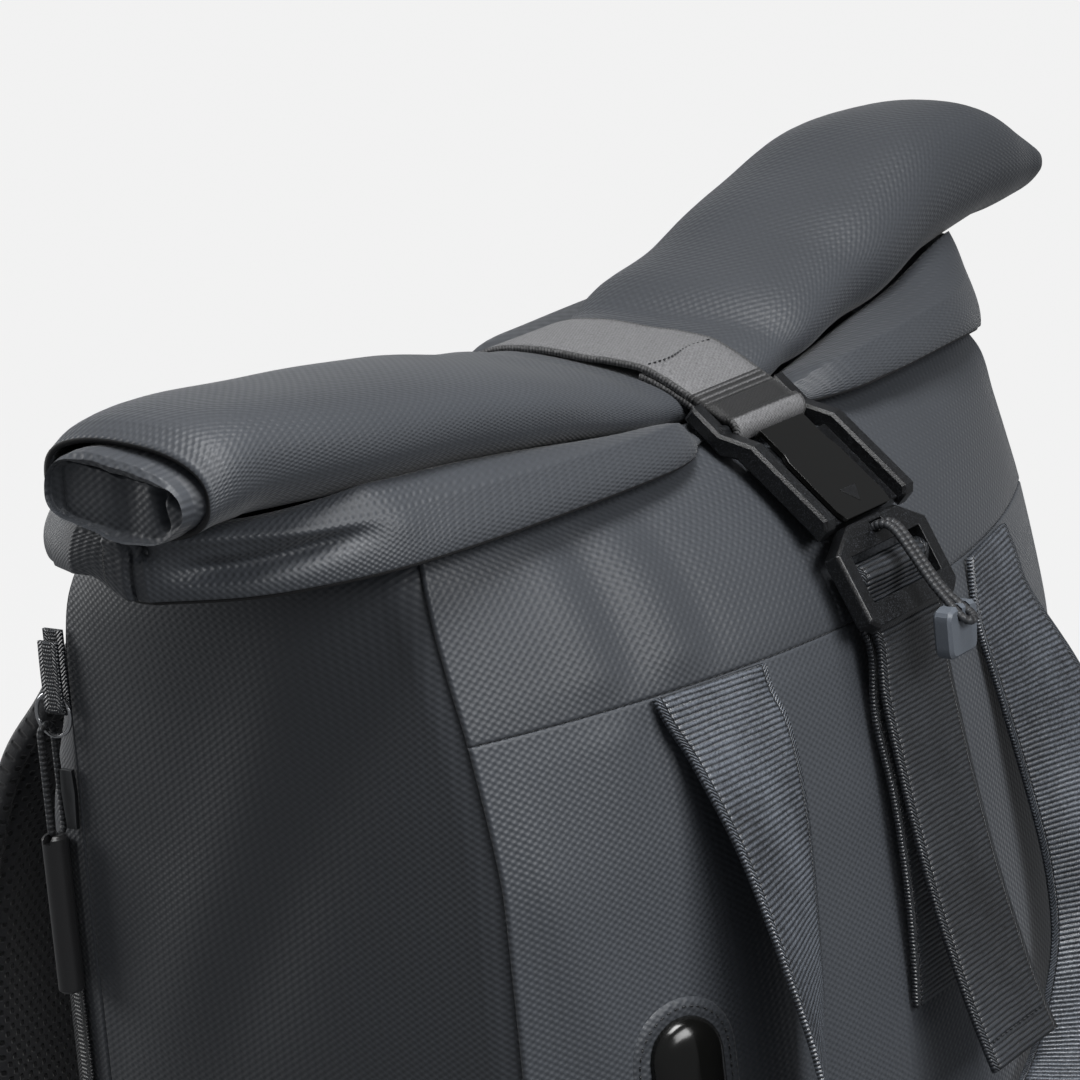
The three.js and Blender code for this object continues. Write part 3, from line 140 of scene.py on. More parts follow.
COLLAR = Profile(
    "along front back low high tuck",
    (-1.0, 0.17, 0.17, -0.13, 1.03, 0.4),
    (-0.94, 0.47, 0.47, -0.13, 1.03, 0.3),
    (-0.87, 0.68, 0.68, -0.07, 0.97, 0.3),
    (-0.775, 0.84, 0.84, 0.0, 0.93, 0.25),
    (-0.56, 0.93, 0.93, 0.0, 0.87, 0.25),
    (-0.28, 0.97, 0.98, 0.0, 0.74, 0.25),
    (-0.19, 0.93, 1.0, 0.0, 0.66, 0.25),
    (-0.118, 0.82, 1.0, 0.03, 0.24, 0),
    (0.0, 0.82, 1.0, 0.03, 0.24, 0),
    (0.118, 0.82, 1.0, 0.03, 0.24, 0),
    (0.19, 0.93, 1.0, 0.1, 0.66, 0.2),
    (0.28, 0.97, 0.98, 0.13, 0.8, 0.15),
    (0.56, 0.91, 0.93, 0.17, 1.0, 0.1),
    (0.7, 0.78, 0.8, -0.03, 1.06, 0.2),
    (0.79, 0.62, 0.62, -0.3, 1.12, 0.2),
    (0.865, 0.44, 0.45, -0.6, 1.12, 0.2),
    (0.925, 0.17, 0.17, -0.8, 1.12, 0.2),
)
ROLL = Profile(
    "along shift rise deep tall tilt",
    (-1.0, -0.033, 0.03, 0.75, 0.836, 6),
    (-0.964, -0.033, 0.091, 0.803, 0.97, 3),
    (-0.893, -0.026, 0.109, 0.842, 1.018, 1),
    (-0.737, -0.039, 0.03, 0.947, 1.006, 1),
    (-0.571, -0.026, -0.061, 1.0, 0.945, 2),
    (-0.402, -0.013, -0.188, 1.026, 0.861, 4),
    (-0.246, 0.02, -0.364, 1.0, 0.745, 6),
    (-0.112, 0.033, -0.5, 1.0, 0.606, 8),
    (0.0, 0.039, -0.561, 1.0, 0.576, 8),
    (0.112, 0.039, -0.485, 1.0, 0.667, 8),
    (0.223, 0.053, -0.324, 1.0, 0.806, 8),
    (0.357, 0.066, -0.121, 1.0, 1.03, 7),
    (0.513, 0.079, 0.091, 1.0, 1.242, 6),
    (0.67, 0.079, 0.388, 0.974, 1.442, 4),
    (0.826, 0.053, 0.503, 0.895, 1.406, 0),
    (0.906, 0.026, 0.455, 0.816, 1.273, -2),
    (0.969, 0.0, 0.348, 0.711, 0.97, -5),
    (1.013, -0.066, 0.273, 0.553, 0.655, -8),
    (1.038, -0.105, 0.273, 0.382, 0.485, -10),
)
HANDLE = (
    (0, 1, 0.036, -14), (0.048, 0.985, 0.052, -10), (0.12, 0.95, 0.1, -6), (0.277, 0.985, 0.286, 8.5),
    (0.53, 1.058, 0.51, 26), (0.705, 1.079, 0.583, 36), (0.813, 0.97, 0.595, 46), (0.916, 0.727, 0.58, 60),
    (0.976, 0.388, 0.57, 76), (1.0, 0, 0.57, 90),
)
SHOULDER = (
    (0.081, 0.831, 1, 1), (0.088, 0.858, 1, 1), (0.143, 0.878, 1, 1), (0.25, 0.879, 1, 1),
    (0.374, 0.856, 1, 1), (0.577, 0.8, 1.02, 1), (0.78, 0.744, 1.05, 1), (0.929, 0.652, 1.1, 1),
    (1.0, 0.552, 1.17, 0.98), (0.964, 0.448, 1.25, 0.94), (0.833, 0.348, 1.35, 0.86),
    (0.667, 0.269, 1.45, 0.74), (0.536, 0.214, 1.5, 0.62),
)
CORD_POINTS = (
    (-0.55, 3.9, -1.9), (-0.55, 4.0, 1.2), (-0.55, 5.2, 3.9), (-0.55, 8.6, 5.6), (-0.55, 14, 6.5),
    (-0.55, 20, 7.4), (-0.55, 26, 8.4), (-0.58, 31, 9.8), (-0.8, 35.2, 11.4), (-1.0, 38.2, 12.8),
    (-0.6, 40.2, 13.8),
)


def clamp(value, low=0.0, high=1.0):
    return min(max(value, low), high)


def ease(low, high, value):
    t = clamp((value - low) / (high - low))
    return t * t * (3 - 2 * t)


def hump(value, middle, reach):
    return exp(-((value - middle) / reach) ** 2)


def crowd(u):
    """Spreads a share so that its steps are finest at both ends."""
    return 0.5 - 0.5 * cos(pi * u)


def tuck(distance, radius):
    """How deep a sewn edge turns in at a distance from its seam."""
    if distance >= radius:
        return 0.0
    return radius * (1 - sqrt(1 - (1 - max(distance, 0) / radius) ** 2))


def spline(points, count):
    """That many points spread evenly along a smooth line through the given ones."""
    knots = [Vector(point) for point in points]
    dense = []
    for i in range(len(knots) - 1):
        a, b, c, d = knots[max(i - 1, 0)], knots[i], knots[i + 1], knots[min(i + 2, len(knots) - 1)]
        for j in range(12):
            t = j / 12
            dense.append(
                0.5 * (2 * b + (c - a) * t + (2 * a - 5 * b + 4 * c - d) * t * t + (3 * b - a - 3 * c + d) * t ** 3)
            )
    dense.append(knots[-1])
    travelled = [0.0]
    for before, after in zip(dense, dense[1:]):
        travelled.append(travelled[-1] + (after - before).length)
    result = []
    i = 0
    for step in range(count):
        goal = travelled[-1] * step / (count - 1)
        while i < len(dense) - 2 and travelled[i + 1] < goal:
            i += 1
        span = max(travelled[i + 1] - travelled[i], 1e-9)
        result.append(dense[i].lerp(dense[i + 1], clamp((goal - travelled[i]) / span)))
    return result


# Shader maths

class Wire:
    """A socket that adds a Math node for each Python operator."""

    def __init__(self, shade, socket):
        self.shade = shade
        self.socket = socket

    def math(self, operation, *others):
        return self.shade.math(operation, self, *others)

    def __add__(self, other):
        return self.math("ADD", other)

    def __sub__(self, other):
        return self.math("SUBTRACT", other)

    def __mul__(self, other):
        return self.math("MULTIPLY", other)

    def __truediv__(self, other):
        return self.math("DIVIDE", other)

    def __radd__(self, other):
        return self.shade.math("ADD", other, self)

    def __rsub__(self, other):
        return self.shade.math("SUBTRACT", other, self)

    def __rmul__(self, other):
        return self.shade.math("MULTIPLY", other, self)

    def __abs__(self):
        return self.math("ABSOLUTE")

    def wave(self, length):
        """One even wave for each length."""
        return (self * (2 * pi / length)).math("COSINE")

    def ribs(self, length):
        """One round rib for each length."""
        return abs((self * (pi / length)).math("SINE"))

    def between(self, low, high):
        return self.shade.node(
            "ShaderNodeMapRange", self, low, high, settings={"interpolation_type": "SMOOTHSTEP"},
        )


class Shade:
    """A material with one Principled surface, and short ways to add its nodes."""

    def __init__(self, name, **constants):
        self.material = bpy.data.materials.new(name)
        self.material.use_nodes = True
        self.tree = self.material.node_tree
        self.surface = self.tree.nodes["Principled BSDF"]
        for socket, value in constants.items():
            self.feed(self.surface.inputs[socket.replace("_", " ")], value)

    def feed(self, socket, value):
        if isinstance(value, Wire):
            self.tree.links.new(value.socket, socket)
        else:
            socket.default_value = value

    def node(self, kind, *values, settings=None, sockets=None, output=0):
        node = self.tree.nodes.new(kind)
        for key, value in (settings or {}).items():
            setattr(node, key, value)
        for socket, value in zip(node.inputs, values):
            self.feed(socket, value)
        for key, value in (sockets or {}).items():
            self.feed(next(socket for socket in node.inputs if socket.identifier == key), value)
        return Wire(self, node.outputs[output])

    def math(self, operation, *values):
        return self.node("ShaderNodeMath", *values, settings={"operation": operation})

    def mix(self, share, first, second):
        return self.node(
            "ShaderNodeMix", settings={"data_type": "RGBA"}, output=2,
            sockets={"Factor_Float": share, "A_Color": first, "B_Color": second},
        )

    def weave(self):
        """The piece's own cloth coordinates, in millimetres."""
        place = self.node("ShaderNodeUVMap", settings={"uv_map": "weave"})
        return [self.node("ShaderNodeSeparateXYZ", place, output=axis) for axis in (0, 1)]

    def place(self):
        return self.node("ShaderNodeTexCoord", output=3)

    def noise(self, scale, detail=2.0, roughness=0.5, stretch=None):
        where = self.place()
        if stretch:
            where = self.node("ShaderNodeVectorMath", where, stretch, settings={"operation": "MULTIPLY"})
        return self.node("ShaderNodeTexNoise", sockets={
            "Vector": where, "Scale": scale, "Detail": detail, "Roughness": roughness,
        })

    def relief(self, height, depth):
        self.feed(self.surface.inputs["Normal"], self.node("ShaderNodeBump", sockets={
            "Strength": 1.0, "Distance": depth * MM, "Height": height,
        }))

    def paint(self, socket, value):
        self.feed(self.surface.inputs[socket], value)


def rgb(colour, share=1.0):
    return (colour[0] * share, colour[1] * share, colour[2] * share, 1.0)


def make_cloth(name, share=1.0):
    """Coated cloth: staggered bumps in columns that read as ribs."""
    cloth = bpy.context.scene.backpack_cloth
    shade = Shade(name, Specular_IOR_Level=0.5, Sheen_Weight=0.15, Sheen_Roughness=0.4)
    u, v = shade.weave()
    column = u.wave(cloth.column)
    height = column * v.wave(cloth.row) * 0.8 + column * 0.3
    patches = shade.noise(14.0, 2.0) - 0.5
    grain = shade.noise(1500.0, 1.0) - 0.5
    # The tone follows the weave's height, darker in its hollows: painted shade, besides random patches and grain of
    # tone.
    tone_and_shade = (height * 0.12 + 0.5 + patches * 0.3 + grain * 0.12).between(-0.1, 1.1)
    shade.paint("Base Color", shade.mix(tone_and_shade, rgb(cloth.dark, share), rgb(cloth.light, share)))
    shade.paint("Roughness", 0.5 - height * 0.04 + patches * 0.12)
    shade.relief(height * 0.5 + grain * 0.12, cloth.relief)
    return shade.material


def make_webbing(name, width, pitch, share=1.0, gloss=0.42):
    """Ribs across the strap between two chain-stitched edges."""
    webbing = bpy.context.scene.backpack_webbing
    shade = Shade(name, Specular_IOR_Level=0.8)
    u, v = shade.weave()
    wander = (shade.noise(60.0, 2.0) - 0.5) * 0.9
    rim = abs(u - width / 2)
    edge = rim.between(width / 2 - 2.1, width / 2 - 1.7)
    groove = 1.0 - abs(rim - (width / 2 - 1.9)).between(0.0, 0.35)
    cloth = (v + wander).ribs(pitch) + u.wave(0.85) * v.wave(2 * pitch) * 0.14
    height = cloth * (1.0 - edge) + (v + rim * 0.9).ribs(1.15) * edge * 1.15 - groove * 0.8
    wear = shade.noise(34.0, 3.0, stretch=(1.0, 1.0, 0.5)) - 0.5
    grain = shade.noise(1100.0, 2.0) - 0.5
    # The tone follows the ribs' height, darker in the hollows between ribs and in the grooves beside the edges:
    # painted shade; wear and grain vary it at random.
    tone_and_shade = (height * 0.55 + wear * 0.9 + grain * 0.9 + 0.1).between(0.0, 1.1)
    shade.paint("Base Color", shade.mix(tone_and_shade, rgb(webbing.dark, share), rgb(webbing.light, share)))
    shade.paint("Roughness", gloss - height * 0.1 + grain * 0.2)
    shade.relief(height + grain * 0.3, webbing.relief)
    return shade.material


def make_twill(name, width):
    """Flat strap of fine slanted threads, with a few ribs where it turns round the bar."""
    webbing = bpy.context.scene.backpack_webbing
    shade = Shade(name, Specular_IOR_Level=0.4, Sheen_Weight=0.1, Sheen_Roughness=0.4)
    u, v = shade.weave()
    fold = closure_fold() - 5
    slant = (u * 0.45 + v).wave(1.0)
    grain = shade.noise(1800.0, 2.0, stretch=(1.0, 0.6, 0.6)) - 0.5
    rim = abs(u - width / 2)
    edge = rim.between(width / 2 - 1.3, width / 2 - 1.0)
    ribs = 1.0 - abs(v - fold + 3.2).between(2.8, 3.3)
    turn = 1.0 - abs(v - fold - 4.0).between(4.0, 5.5)
    height = (slant * u.wave(0.75) * 0.35 + slant * 0.15) * (1.0 - edge) + (v + rim * 0.8).ribs(1.1) * edge
    height = height + (v - fold + 3.2).wave(2.1) * ribs * 1.2
    # Darker in the thread hollows and the ribs by the bar, and much darker where the strap turns round the bar:
    # painted shade.
    tone_and_shade = (height * 0.3 + grain * 0.8 + 0.6 - ribs * 0.5 - turn * 0.9 - edge * 0.5).between(0.0, 1.0)
    shade.paint("Base Color", shade.mix(tone_and_shade, rgb(webbing.twill, 0.06), rgb(webbing.twill)))
    shade.paint("Roughness", 0.55 + grain * 0.2 - turn * 0.1)
    shade.relief(height + grain * 0.4, 0.16)
    return shade.material


def make_braid(name, pitch):
    """Two sets of strands that wind round a cord."""
    shade = Shade(name, Specular_IOR_Level=0.5)
    u, v = shade.weave()
    height = ((v / pitch + u).wave(1.0) * (v / pitch - u).wave(1.0) * 0.5 + 0.5).between(0.1, 0.9)
    # Lighter on the strands and darker in the gaps between them: painted shade.
    shade.paint("Base Color", shade.mix(height, (0.008, 0.008, 0.009, 1), (0.05, 0.053, 0.058, 1)))
    shade.paint("Roughness", 0.6 - height * 0.2)
    shade.relief(height, 0.3)
    return shade.material


def make_plastic(name, dark, glint_colour, roughness, speckle):
    """Moulded plastic: fine bright specks painted in as glints, and a slightly uneven skin."""
    shade = Shade(name, Specular_IOR_Level=0.5)
    grain = shade.noise(2600.0, 1.0)
    cloud = shade.noise(120.0, 2.0)
    # Bright specks in the colour: painted glints.
    painted_glints = grain.between(0.52, 0.7) * speckle
    shade.paint("Base Color", shade.mix(painted_glints, rgb(dark), rgb(glint_colour)))
    shade.paint("Roughness", roughness + (cloud - 0.5) * 0.12 + (grain - 0.5) * 0.1)
    shade.relief(grain * speckle + cloud * 0.25, 0.07)
    return shade.material


def make_metal(name, colour, roughness):
    shade = Shade(name, Metallic=1.0)
    grain = shade.noise(700.0, 2.0, stretch=(1.0, 1.0, 0.15))
    shade.paint("Base Color", shade.mix(grain, rgb(colour, 0.7), rgb(colour)))
    shade.paint("Roughness", roughness + (grain - 0.5) * 0.15)
    shade.relief(grain, 0.02)
    return shade.material


def make_spacer(name):
    """Spacer mesh: staggered round holes in a padded knit."""
    shade = Shade(name, Specular_IOR_Level=0.3, Sheen_Weight=0.2, Sheen_Roughness=0.5)
    u, v = shade.weave()
    knit = 1.0 - (u.wave(4.2) * v.wave(5.2)).between(0.15, 0.75)
    grain = shade.noise(900.0, 2.0) - 0.5
    # The holes are darker than the knit round them: painted shade in the holes.
    tone_and_shade = knit * 0.8 + grain * 0.5
    shade.paint("Base Color", shade.mix(tone_and_shade, (0.003, 0.003, 0.004, 1), (0.03, 0.031, 0.034, 1)))
    shade.paint("Roughness", 0.75 + grain * 0.2)
    shade.relief(knit + grain * 0.2, 0.7)
    return shade.material


# Each finish: what makes it, and its own values.
FINISHES = {
    "cloth": (make_cloth,),
    # The front panel's cloth is the same cloth made 1.22 times as light: painted light.
    "front_cloth": (make_cloth, 1.22),
    # The side, back and base cloth is the same cloth made 0.85 times as dark: painted shade.
    "side_cloth": (make_cloth, 0.85),
    "webbing_38": (make_webbing, STRAP, 1.6),
    # The handle's webbing is made three times as light as the other webbing: painted sheen.
    "webbing_42": (make_webbing, HANDLE_WIDTH, 1.7, 3.0, 0.36),
    "webbing_25": (make_webbing, SIDE_WEBBING, 1.5, 0.7),
    "webbing_7": (make_webbing, LOOP_WIDTH, 1.1, 0.9),
    "zip_tape": (make_webbing, ZIP_WIDTH, 1.3, 0.4),
    "twill": (make_twill, STRAP),
    "braid": (make_braid, 3.2),
    "thread": (make_braid, 1.2),
    # The near-black binding on the roll sheet's edges, which also makes the tube of painted shadow under the collar's
    # hem.
    "binding": (make_plastic, (0.006, 0.006, 0.007), (0.02, 0.02, 0.022), 0.6, 0.5),
    "satin": (make_plastic, (0.0025, 0.0026, 0.003), (0.03, 0.033, 0.038), 0.33, 0.9),
    "gloss": (make_plastic, (0.004, 0.004, 0.0037), (0.006, 0.006, 0.006), 0.17, 0.1),
    "soft_black": (make_plastic, (0.11, 0.125, 0.148), (0.16, 0.18, 0.2), 0.42, 0.4),
    "matt_black": (make_plastic, (0.02, 0.02, 0.021), (0.035, 0.035, 0.037), 0.33, 0.4),
    "steel": (make_metal, (0.55, 0.56, 0.58), 0.25),
    "gunmetal": (make_metal, (0.16, 0.165, 0.17), 0.35),
    "spacer": (make_spacer,),
}
MATERIALS = {}


def material(name):
    """Each finish is made when a piece first needs it."""
    if name not in MATERIALS:
        maker, *values = FINISHES[name]
        MATERIALS[name] = maker(name, *values)
    return MATERIALS[name]


# Mesh helpers

def to_object(bm, name, finish, rim=None):
    for face in bm.faces:
        face.smooth = True
    mesh = bpy.data.meshes.new(name)
    bm.to_mesh(mesh)
    bm.free()
    piece = bpy.data.objects.new(name, mesh)
    bpy.context.scene.collection.objects.link(piece)
    mesh.materials.append(material(finish))
    if rim:
        mesh.materials.append(material(rim))
    return piece


def settle(piece, slot, *nodes):
    """The piece rides on the bag and stands for those nodes. The slot is not used."""
    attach(piece, "root")
    if nodes:
        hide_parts(*nodes)
    return piece


def sheet(name, across, along, place, finish, thick=0.0, offset=-1.0, inside=None, merge=False, levels=0, rim=None):
    """A grid laid out by place(u, v), which gives a point and its cloth coordinates, all in millimetres."""
    bm = bmesh.new()
    weave = bm.loops.layers.uv.new("weave")
    bmesh.ops.create_grid(bm, x_segments=across, y_segments=along, size=0.5)
    placed = {vert: place(vert.co.x + 0.5, vert.co.y + 0.5) for vert in bm.verts}
    for face in bm.faces:
        for loop in face.loops:
            loop[weave].uv = placed[loop.vert][1]
    for vert, (point, _) in placed.items():
        vert.co = Vector(point) * MM
    if merge:
        bmesh.ops.remove_doubles(bm, verts=bm.verts, dist=1e-6)
    bm.normal_update()
    if inside is not None:
        middle = Vector(inside) * MM
        facing = sum(face.normal.dot(face.calc_center_median() - middle) for face in bm.faces)
        if facing < 0:
            bmesh.ops.reverse_faces(bm, faces=bm.faces)
    piece = to_object(bm, name, finish, rim)
    if thick:
        shell = piece.modifiers.new("thickness", "SOLIDIFY")
        shell.thickness = thick * MM
        shell.offset = offset
        shell.material_offset_rim = 1 if rim else 0
    if levels:
        smooth = piece.modifiers.new("smooth", "SUBSURF")
        smooth.levels = smooth.render_levels = levels
    return piece


def seal(piece, fill=True):
    """Closes a piece's open ends and turns its faces outwards."""
    bm = bmesh.new()
    bm.from_mesh(piece.data)
    if fill:
        bmesh.ops.holes_fill(bm, edges=[edge for edge in bm.edges if edge.is_boundary])
    bmesh.ops.recalc_face_normals(bm, faces=bm.faces)
    bm.to_mesh(piece.data)
    bm.free()
    return piece


def strap(name, frames, width, finish, thick=WEBBING, across=8):
    """A flat strap through frames, each a middle and the direction of its width."""
    middles = [Vector(middle) for middle, _ in frames]
    sides = [Vector(side).normalized() for _, side in frames]
    travelled = [0.0]
    for before, after in zip(middles, middles[1:]):
        travelled.append(travelled[-1] + (after - before).length)
    along = len(frames) - 1

    def place(u, v):
        i = round(v * along)
        return middles[i] + sides[i] * (u - 0.5) * width, (u * width, travelled[i])

    return sheet(name, across, along, place, finish, thick, 0.0)


def level_frames(points, count):
    """Frames of a strap whose width runs along X, from points of y, z and tilt in degrees."""
    return [
        ((0, y, z), (cos(radians(tilt)), 0, sin(radians(tilt))))
        for y, z, tilt in spline(points, count)
    ]


def tube(name, path, radius, finish, sides=12, closed=False):
    """A round tube along points. Its cloth coordinates are turns round it and millimetres along it."""
    points = [Vector(point) for point in path]
    count = len(points)
    travelled = [0.0]
    for before, after in zip(points, points[1:]):
        travelled.append(travelled[-1] + (after - before).length)
    frames = []
    side = Vector((1, 0.01, 0.02))
    for i in range(count):
        before = points[i - 1] if i or closed else points[i]
        after = points[(i + 1) % count] if i < count - 1 or closed else points[i]
        along = (after - before).normalized()
        side = (side - along * side.dot(along)).normalized()
        frames.append((side.copy(), along.cross(side)))
    if closed:
        frames[-1] = frames[0]
        points[-1] = points[0]

    def place(u, v):
        i = round(v * (count - 1))
        first, second = frames[i]
        angle = 2 * pi * u
        point = points[i] + (first * cos(angle) + second * sin(angle)) * radius
        return point, (u, travelled[i])

    return seal(sheet(name, sides, count - 1, place, finish, merge=True), not closed)


def rounded_copy(name, node, bevel, finish, slot, segments=2, angle=22):
    """A CAD node's solid with its corners rounded."""
    bm = bmesh.new()
    bm.from_mesh(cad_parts[node].data)
    bmesh.ops.remove_doubles(bm, verts=bm.verts, dist=3e-6)
    bmesh.ops.dissolve_limit(bm, angle_limit=radians(1.5), verts=bm.verts, edges=bm.edges)
    sharp = [edge for edge in bm.edges if edge.is_manifold and edge.calc_face_angle(0) > radians(angle)]
    bmesh.ops.bevel(
        bm, geom=sharp, offset=bevel * MM, offset_type="OFFSET", segments=segments, profile=0.5,
        affect="EDGES", material=-1, clamp_overlap=True,
    )
    piece = to_object(bm, name, finish)
    normals = piece.modifiers.new("normals", "WEIGHTED_NORMAL")
    normals.keep_sharp = True
    return settle(piece, slot, node)


def plate(name, outline, low, high, stand, bevel, finish, slot):
    """A plate from an outline of x and s, between two heights over a plane, with rounded edges."""
    bm = bmesh.new()
    face = bm.faces.new([bm.verts.new((x, s, low)) for x, s in outline])
    grown = bmesh.ops.extrude_face_region(bm, geom=[face])
    lifted = [item for item in grown["geom"] if isinstance(item, bmesh.types.BMVert)]
    bmesh.ops.translate(bm, vec=(0, 0, high - low), verts=lifted)
    bmesh.ops.recalc_face_normals(bm, faces=bm.faces)
    sharp = [edge for edge in bm.edges if edge.calc_face_angle(0) > radians(20)]
    bmesh.ops.bevel(
        bm, geom=sharp, offset=bevel, offset_type="OFFSET", segments=2, profile=0.5,
        affect="EDGES", material=-1, clamp_overlap=True,
    )
    bmesh.ops.transform(bm, matrix=Matrix.Scale(MM, 4) @ stand, verts=bm.verts)
    bmesh.ops.recalc_face_normals(bm, faces=bm.faces)
    piece = to_object(bm, name, finish)
    piece.modifiers.new("normals", "WEIGHTED_NORMAL")
    return settle(piece, slot)


def stitches(name, path, spacing, length=0.68, radius=0.32):
    """A row of short threads along a path."""
    count = max(2, round(sum((b - a).length for a, b in zip(path, path[1:])) / spacing))
    points = spline(path, count + 1)
    bm = bmesh.new()
    weave = bm.loops.layers.uv.new("weave")
    for before, after in zip(points, points[1:]):
        along = after - before
        turn = along.to_track_quat("Z", "X").to_matrix().to_4x4()
        middle = Matrix.Translation(before.lerp(after, 0.5)) @ turn
        size = Matrix.Diagonal((radius, radius, along.length * length / 2, 1))
        bmesh.ops.create_icosphere(bm, subdivisions=1, radius=1, matrix=Matrix.Scale(MM, 4) @ middle @ size)
    for face in bm.faces:
        for loop in face.loops:
            loop[weave].uv = (loop.vert.co.x / MM, loop.vert.co.z / MM)
    return settle(to_object(bm, name, "thread"), "webbing")


# Shapes of the bag

def body(z):
    return BODY.at(clamp(z / BODY_HEIGHT))


def ridge_half(z):
    return BODY_WIDTH / 2 * body(z).width


def ridge_y(z):
    return SEAM_BACK - RIDGE_DEPTH * body(z).depth


def seam_y(z):
    return SEAM_BACK * body(z).lean


def back_y(z):
    return seam_y(z) + GUSSET * body(z).gusset


def front_y(x, z):
    share = x / ridge_half(z)
    return ridge_y(z) - FRONT_BULGE * body(z).bulge * (1 - share * share)


def front_folds(x, z):
    """Soft puckers of the front: beside the buckle, under the collar and beside the handle."""
    under = ease(300, 372, z) * (1 - ease(385, 402, z))
    waves = 1.2 * hump(x, -86, 9) - 1.1 * hump(x, -101, 7) + 0.9 * hump(x, -114, 8) - 0.7 * hump(x, -72, 6)
    slack = 1.2 * hump(x + 0.25 * (z - 250), -128, 10) * ease(180, 240, z) * (1 - ease(300, 345, z))
    return under * waves + slack + 0.9 * noise.noise(Vector((x / 55, 1.7, z / 70)))


def front_point(x, z, out=0.0):
    """A point of the bulging front, or that far out from it."""
    step = 2.0
    slope = (front_y(x + step, z) - front_y(x - step, z)) / (2 * step)
    lean = (front_y(x, z + step) - front_y(x, z - step)) / (2 * step)
    normal = Vector((slope, -1, lean)).normalized()
    return Vector((x, front_y(x, z), z)) + normal * out


def front_panel(name, low, high, finish):
    radius = 0.6

    def place(u, v):
        s = crowd(u)
        z = low + (high - low) * crowd(v)
        half = ridge_half(z) - radius
        x = half * (2 * s - 1)
        side = half - abs(x)
        ends = min(z - low + (5 if low == 0 else 0), high - z + (5 if high > YOKE else 0))
        calm = ease(0, 14, side) * ease(0, 10, ends)
        inward = 1.4 * tuck(side, 0.9) + tuck(ends, 0.9)
        return front_point(x, z, front_folds(x, z) * calm - inward), (x * 1.06, z)

    return sheet(name, 150, max(40, round((high - low) / 2.6)), place, finish, 1.6, inside=INSIDE)


def side_folds(y, z):
    """A slanting slack fold under the roll, and a soft unevenness."""
    wave = 1.6 * hump(y + 0.55 * (z - 300), 40, 16) - 1.2 * hump(y + 0.55 * (z - 300), 12, 14)
    return wave * ease(200, 290, z) * (1 - ease(370, 400, z)) + 1.1 * noise.noise(Vector((y / 48, 7.3, z / 60)))


def side_panel(name, side):
    radius = 0.5

    def place(u, v):
        z = BODY_HEIGHT * v
        share = crowd(u)
        half = ridge_half(z)
        seam_half = half * SEAM_SHARE
        depth = seam_y(z) - ridge_y(z)
        y = ridge_y(z) + radius + (depth - radius) * share
        t = (y - ridge_y(z)) / depth
        ends = min(y - ridge_y(z) - radius, seam_y(z) - y)
        x = half + (seam_half - half) * t + SIDE_FLARE * body(z).flare * sin(pi * t)
        rolled = 3.4 * clamp(1 - (y - ridge_y(z)) / 9) ** 1.4 + tuck(ends, 0.8)
        x += side_folds(y, z) * ease(0, 14, ends) * ease(0, 12, z) * (1 - ease(385, 400, z)) - rolled
        return (side * x, y, z), (y, z)

    # The sides wear a darker copy of the cloth: painted shade.
    return sheet(name, 74, 150, place, "side_cloth", 1.6, inside=INSIDE)


def back_panel(name):
    """The back and the two gussets beside it."""
    def place(u, v):
        z = BODY_HEIGHT * v
        seam_half = ridge_half(z) * SEAM_SHARE
        back_half = seam_half - GUSSET * body(z).turn
        width = 0.1
        if u < width:
            t = u / width
            x, y = seam_half + (back_half - seam_half) * t, seam_y(z) + (back_y(z) - seam_y(z)) * t
        elif u > 1 - width:
            t = (1 - u) / width
            x, y = -seam_half - (back_half - seam_half) * t, seam_y(z) + (back_y(z) - seam_y(z)) * t
        else:
            x, y = back_half * (1 - 2 * (u - width) / (1 - 2 * width)), back_y(z)
        corner = max(hump(u, width, 0.016), hump(u, 1 - width, 0.016))
        y -= 1.1 * corner
        x -= copysign(0.8 * corner, x)
        return (x, y, z), (x + y, z)

    # The back wears a darker copy of the cloth: painted shade.
    return sheet(name, 110, 150, place, "side_cloth", 1.6, inside=INSIDE)


def base_panel(name):
    def place(u, v):
        half = ridge_half(0) * (1 + (SEAM_SHARE - 1) * v) - 0.4
        x = half * (2 * u - 1)
        y = front_y(x, 0) * (1 - v) + (seam_y(0) + GUSSET * 0.6 * (1 - abs(2 * u - 1) ** 12)) * v
        return (x, y, 0.0), (x, y)

    # The base wears a darker copy of the cloth: painted shade.
    return sheet(name, 60, 40, place, "side_cloth", 1.6, inside=INSIDE)


def roll(x):
    return ROLL.at(x / (ROLL_LENGTH / 2))


def roll_folds(x, angle):
    """Bulges of the roll: a crease beside the strap and soft lumps towards the raised end."""
    top = 0.5 + 0.5 * sin(angle)
    lumps = 1.5 * hump(x + 6 * cos(angle), 52, 12) - 1.5 * hump(x + 10 * cos(angle), 33, 7)
    lumps += 1.4 * hump(x, 108, 22) - 1.2 * hump(x + 10 * cos(angle), 82, 13)
    pinch = -0.9 * hump(x, -26, 6) + 0.8 * hump(x, -42, 10)
    drift = noise.noise(Vector((x / 46, cos(angle) * 1.3, sin(angle) * 1.3 + 4.1)))
    return (lumps + pinch) * (0.35 + 0.65 * top) * ease(21, 34, abs(x)) + 0.8 * drift * ease(24, 60, abs(x))


def roll_point(x, angle, inset, folds=True):
    row = roll(x)
    puff = roll_folds(x, angle) * (1 - ease(4, 9, inset)) if folds else 0
    full = 0.08 * sin(2 * angle) ** 2 * (1 if sin(angle) > 0 else 0.3)
    across = (ROLL_DEPTH / 2 * row.deep - inset) * (1 + full) + puff
    tall = (ROLL_HEIGHT / 2 * row.tall - inset) * (1 + full) + puff
    tilt = radians(row.tilt)
    y, z = across * cos(angle), tall * sin(angle)
    return (
        ROLL_DEPTH * row.shift + y * cos(tilt) - z * sin(tilt),
        ROLL_CENTRE + ROLL_HEIGHT * row.rise + y * sin(tilt) + z * cos(tilt),
    )


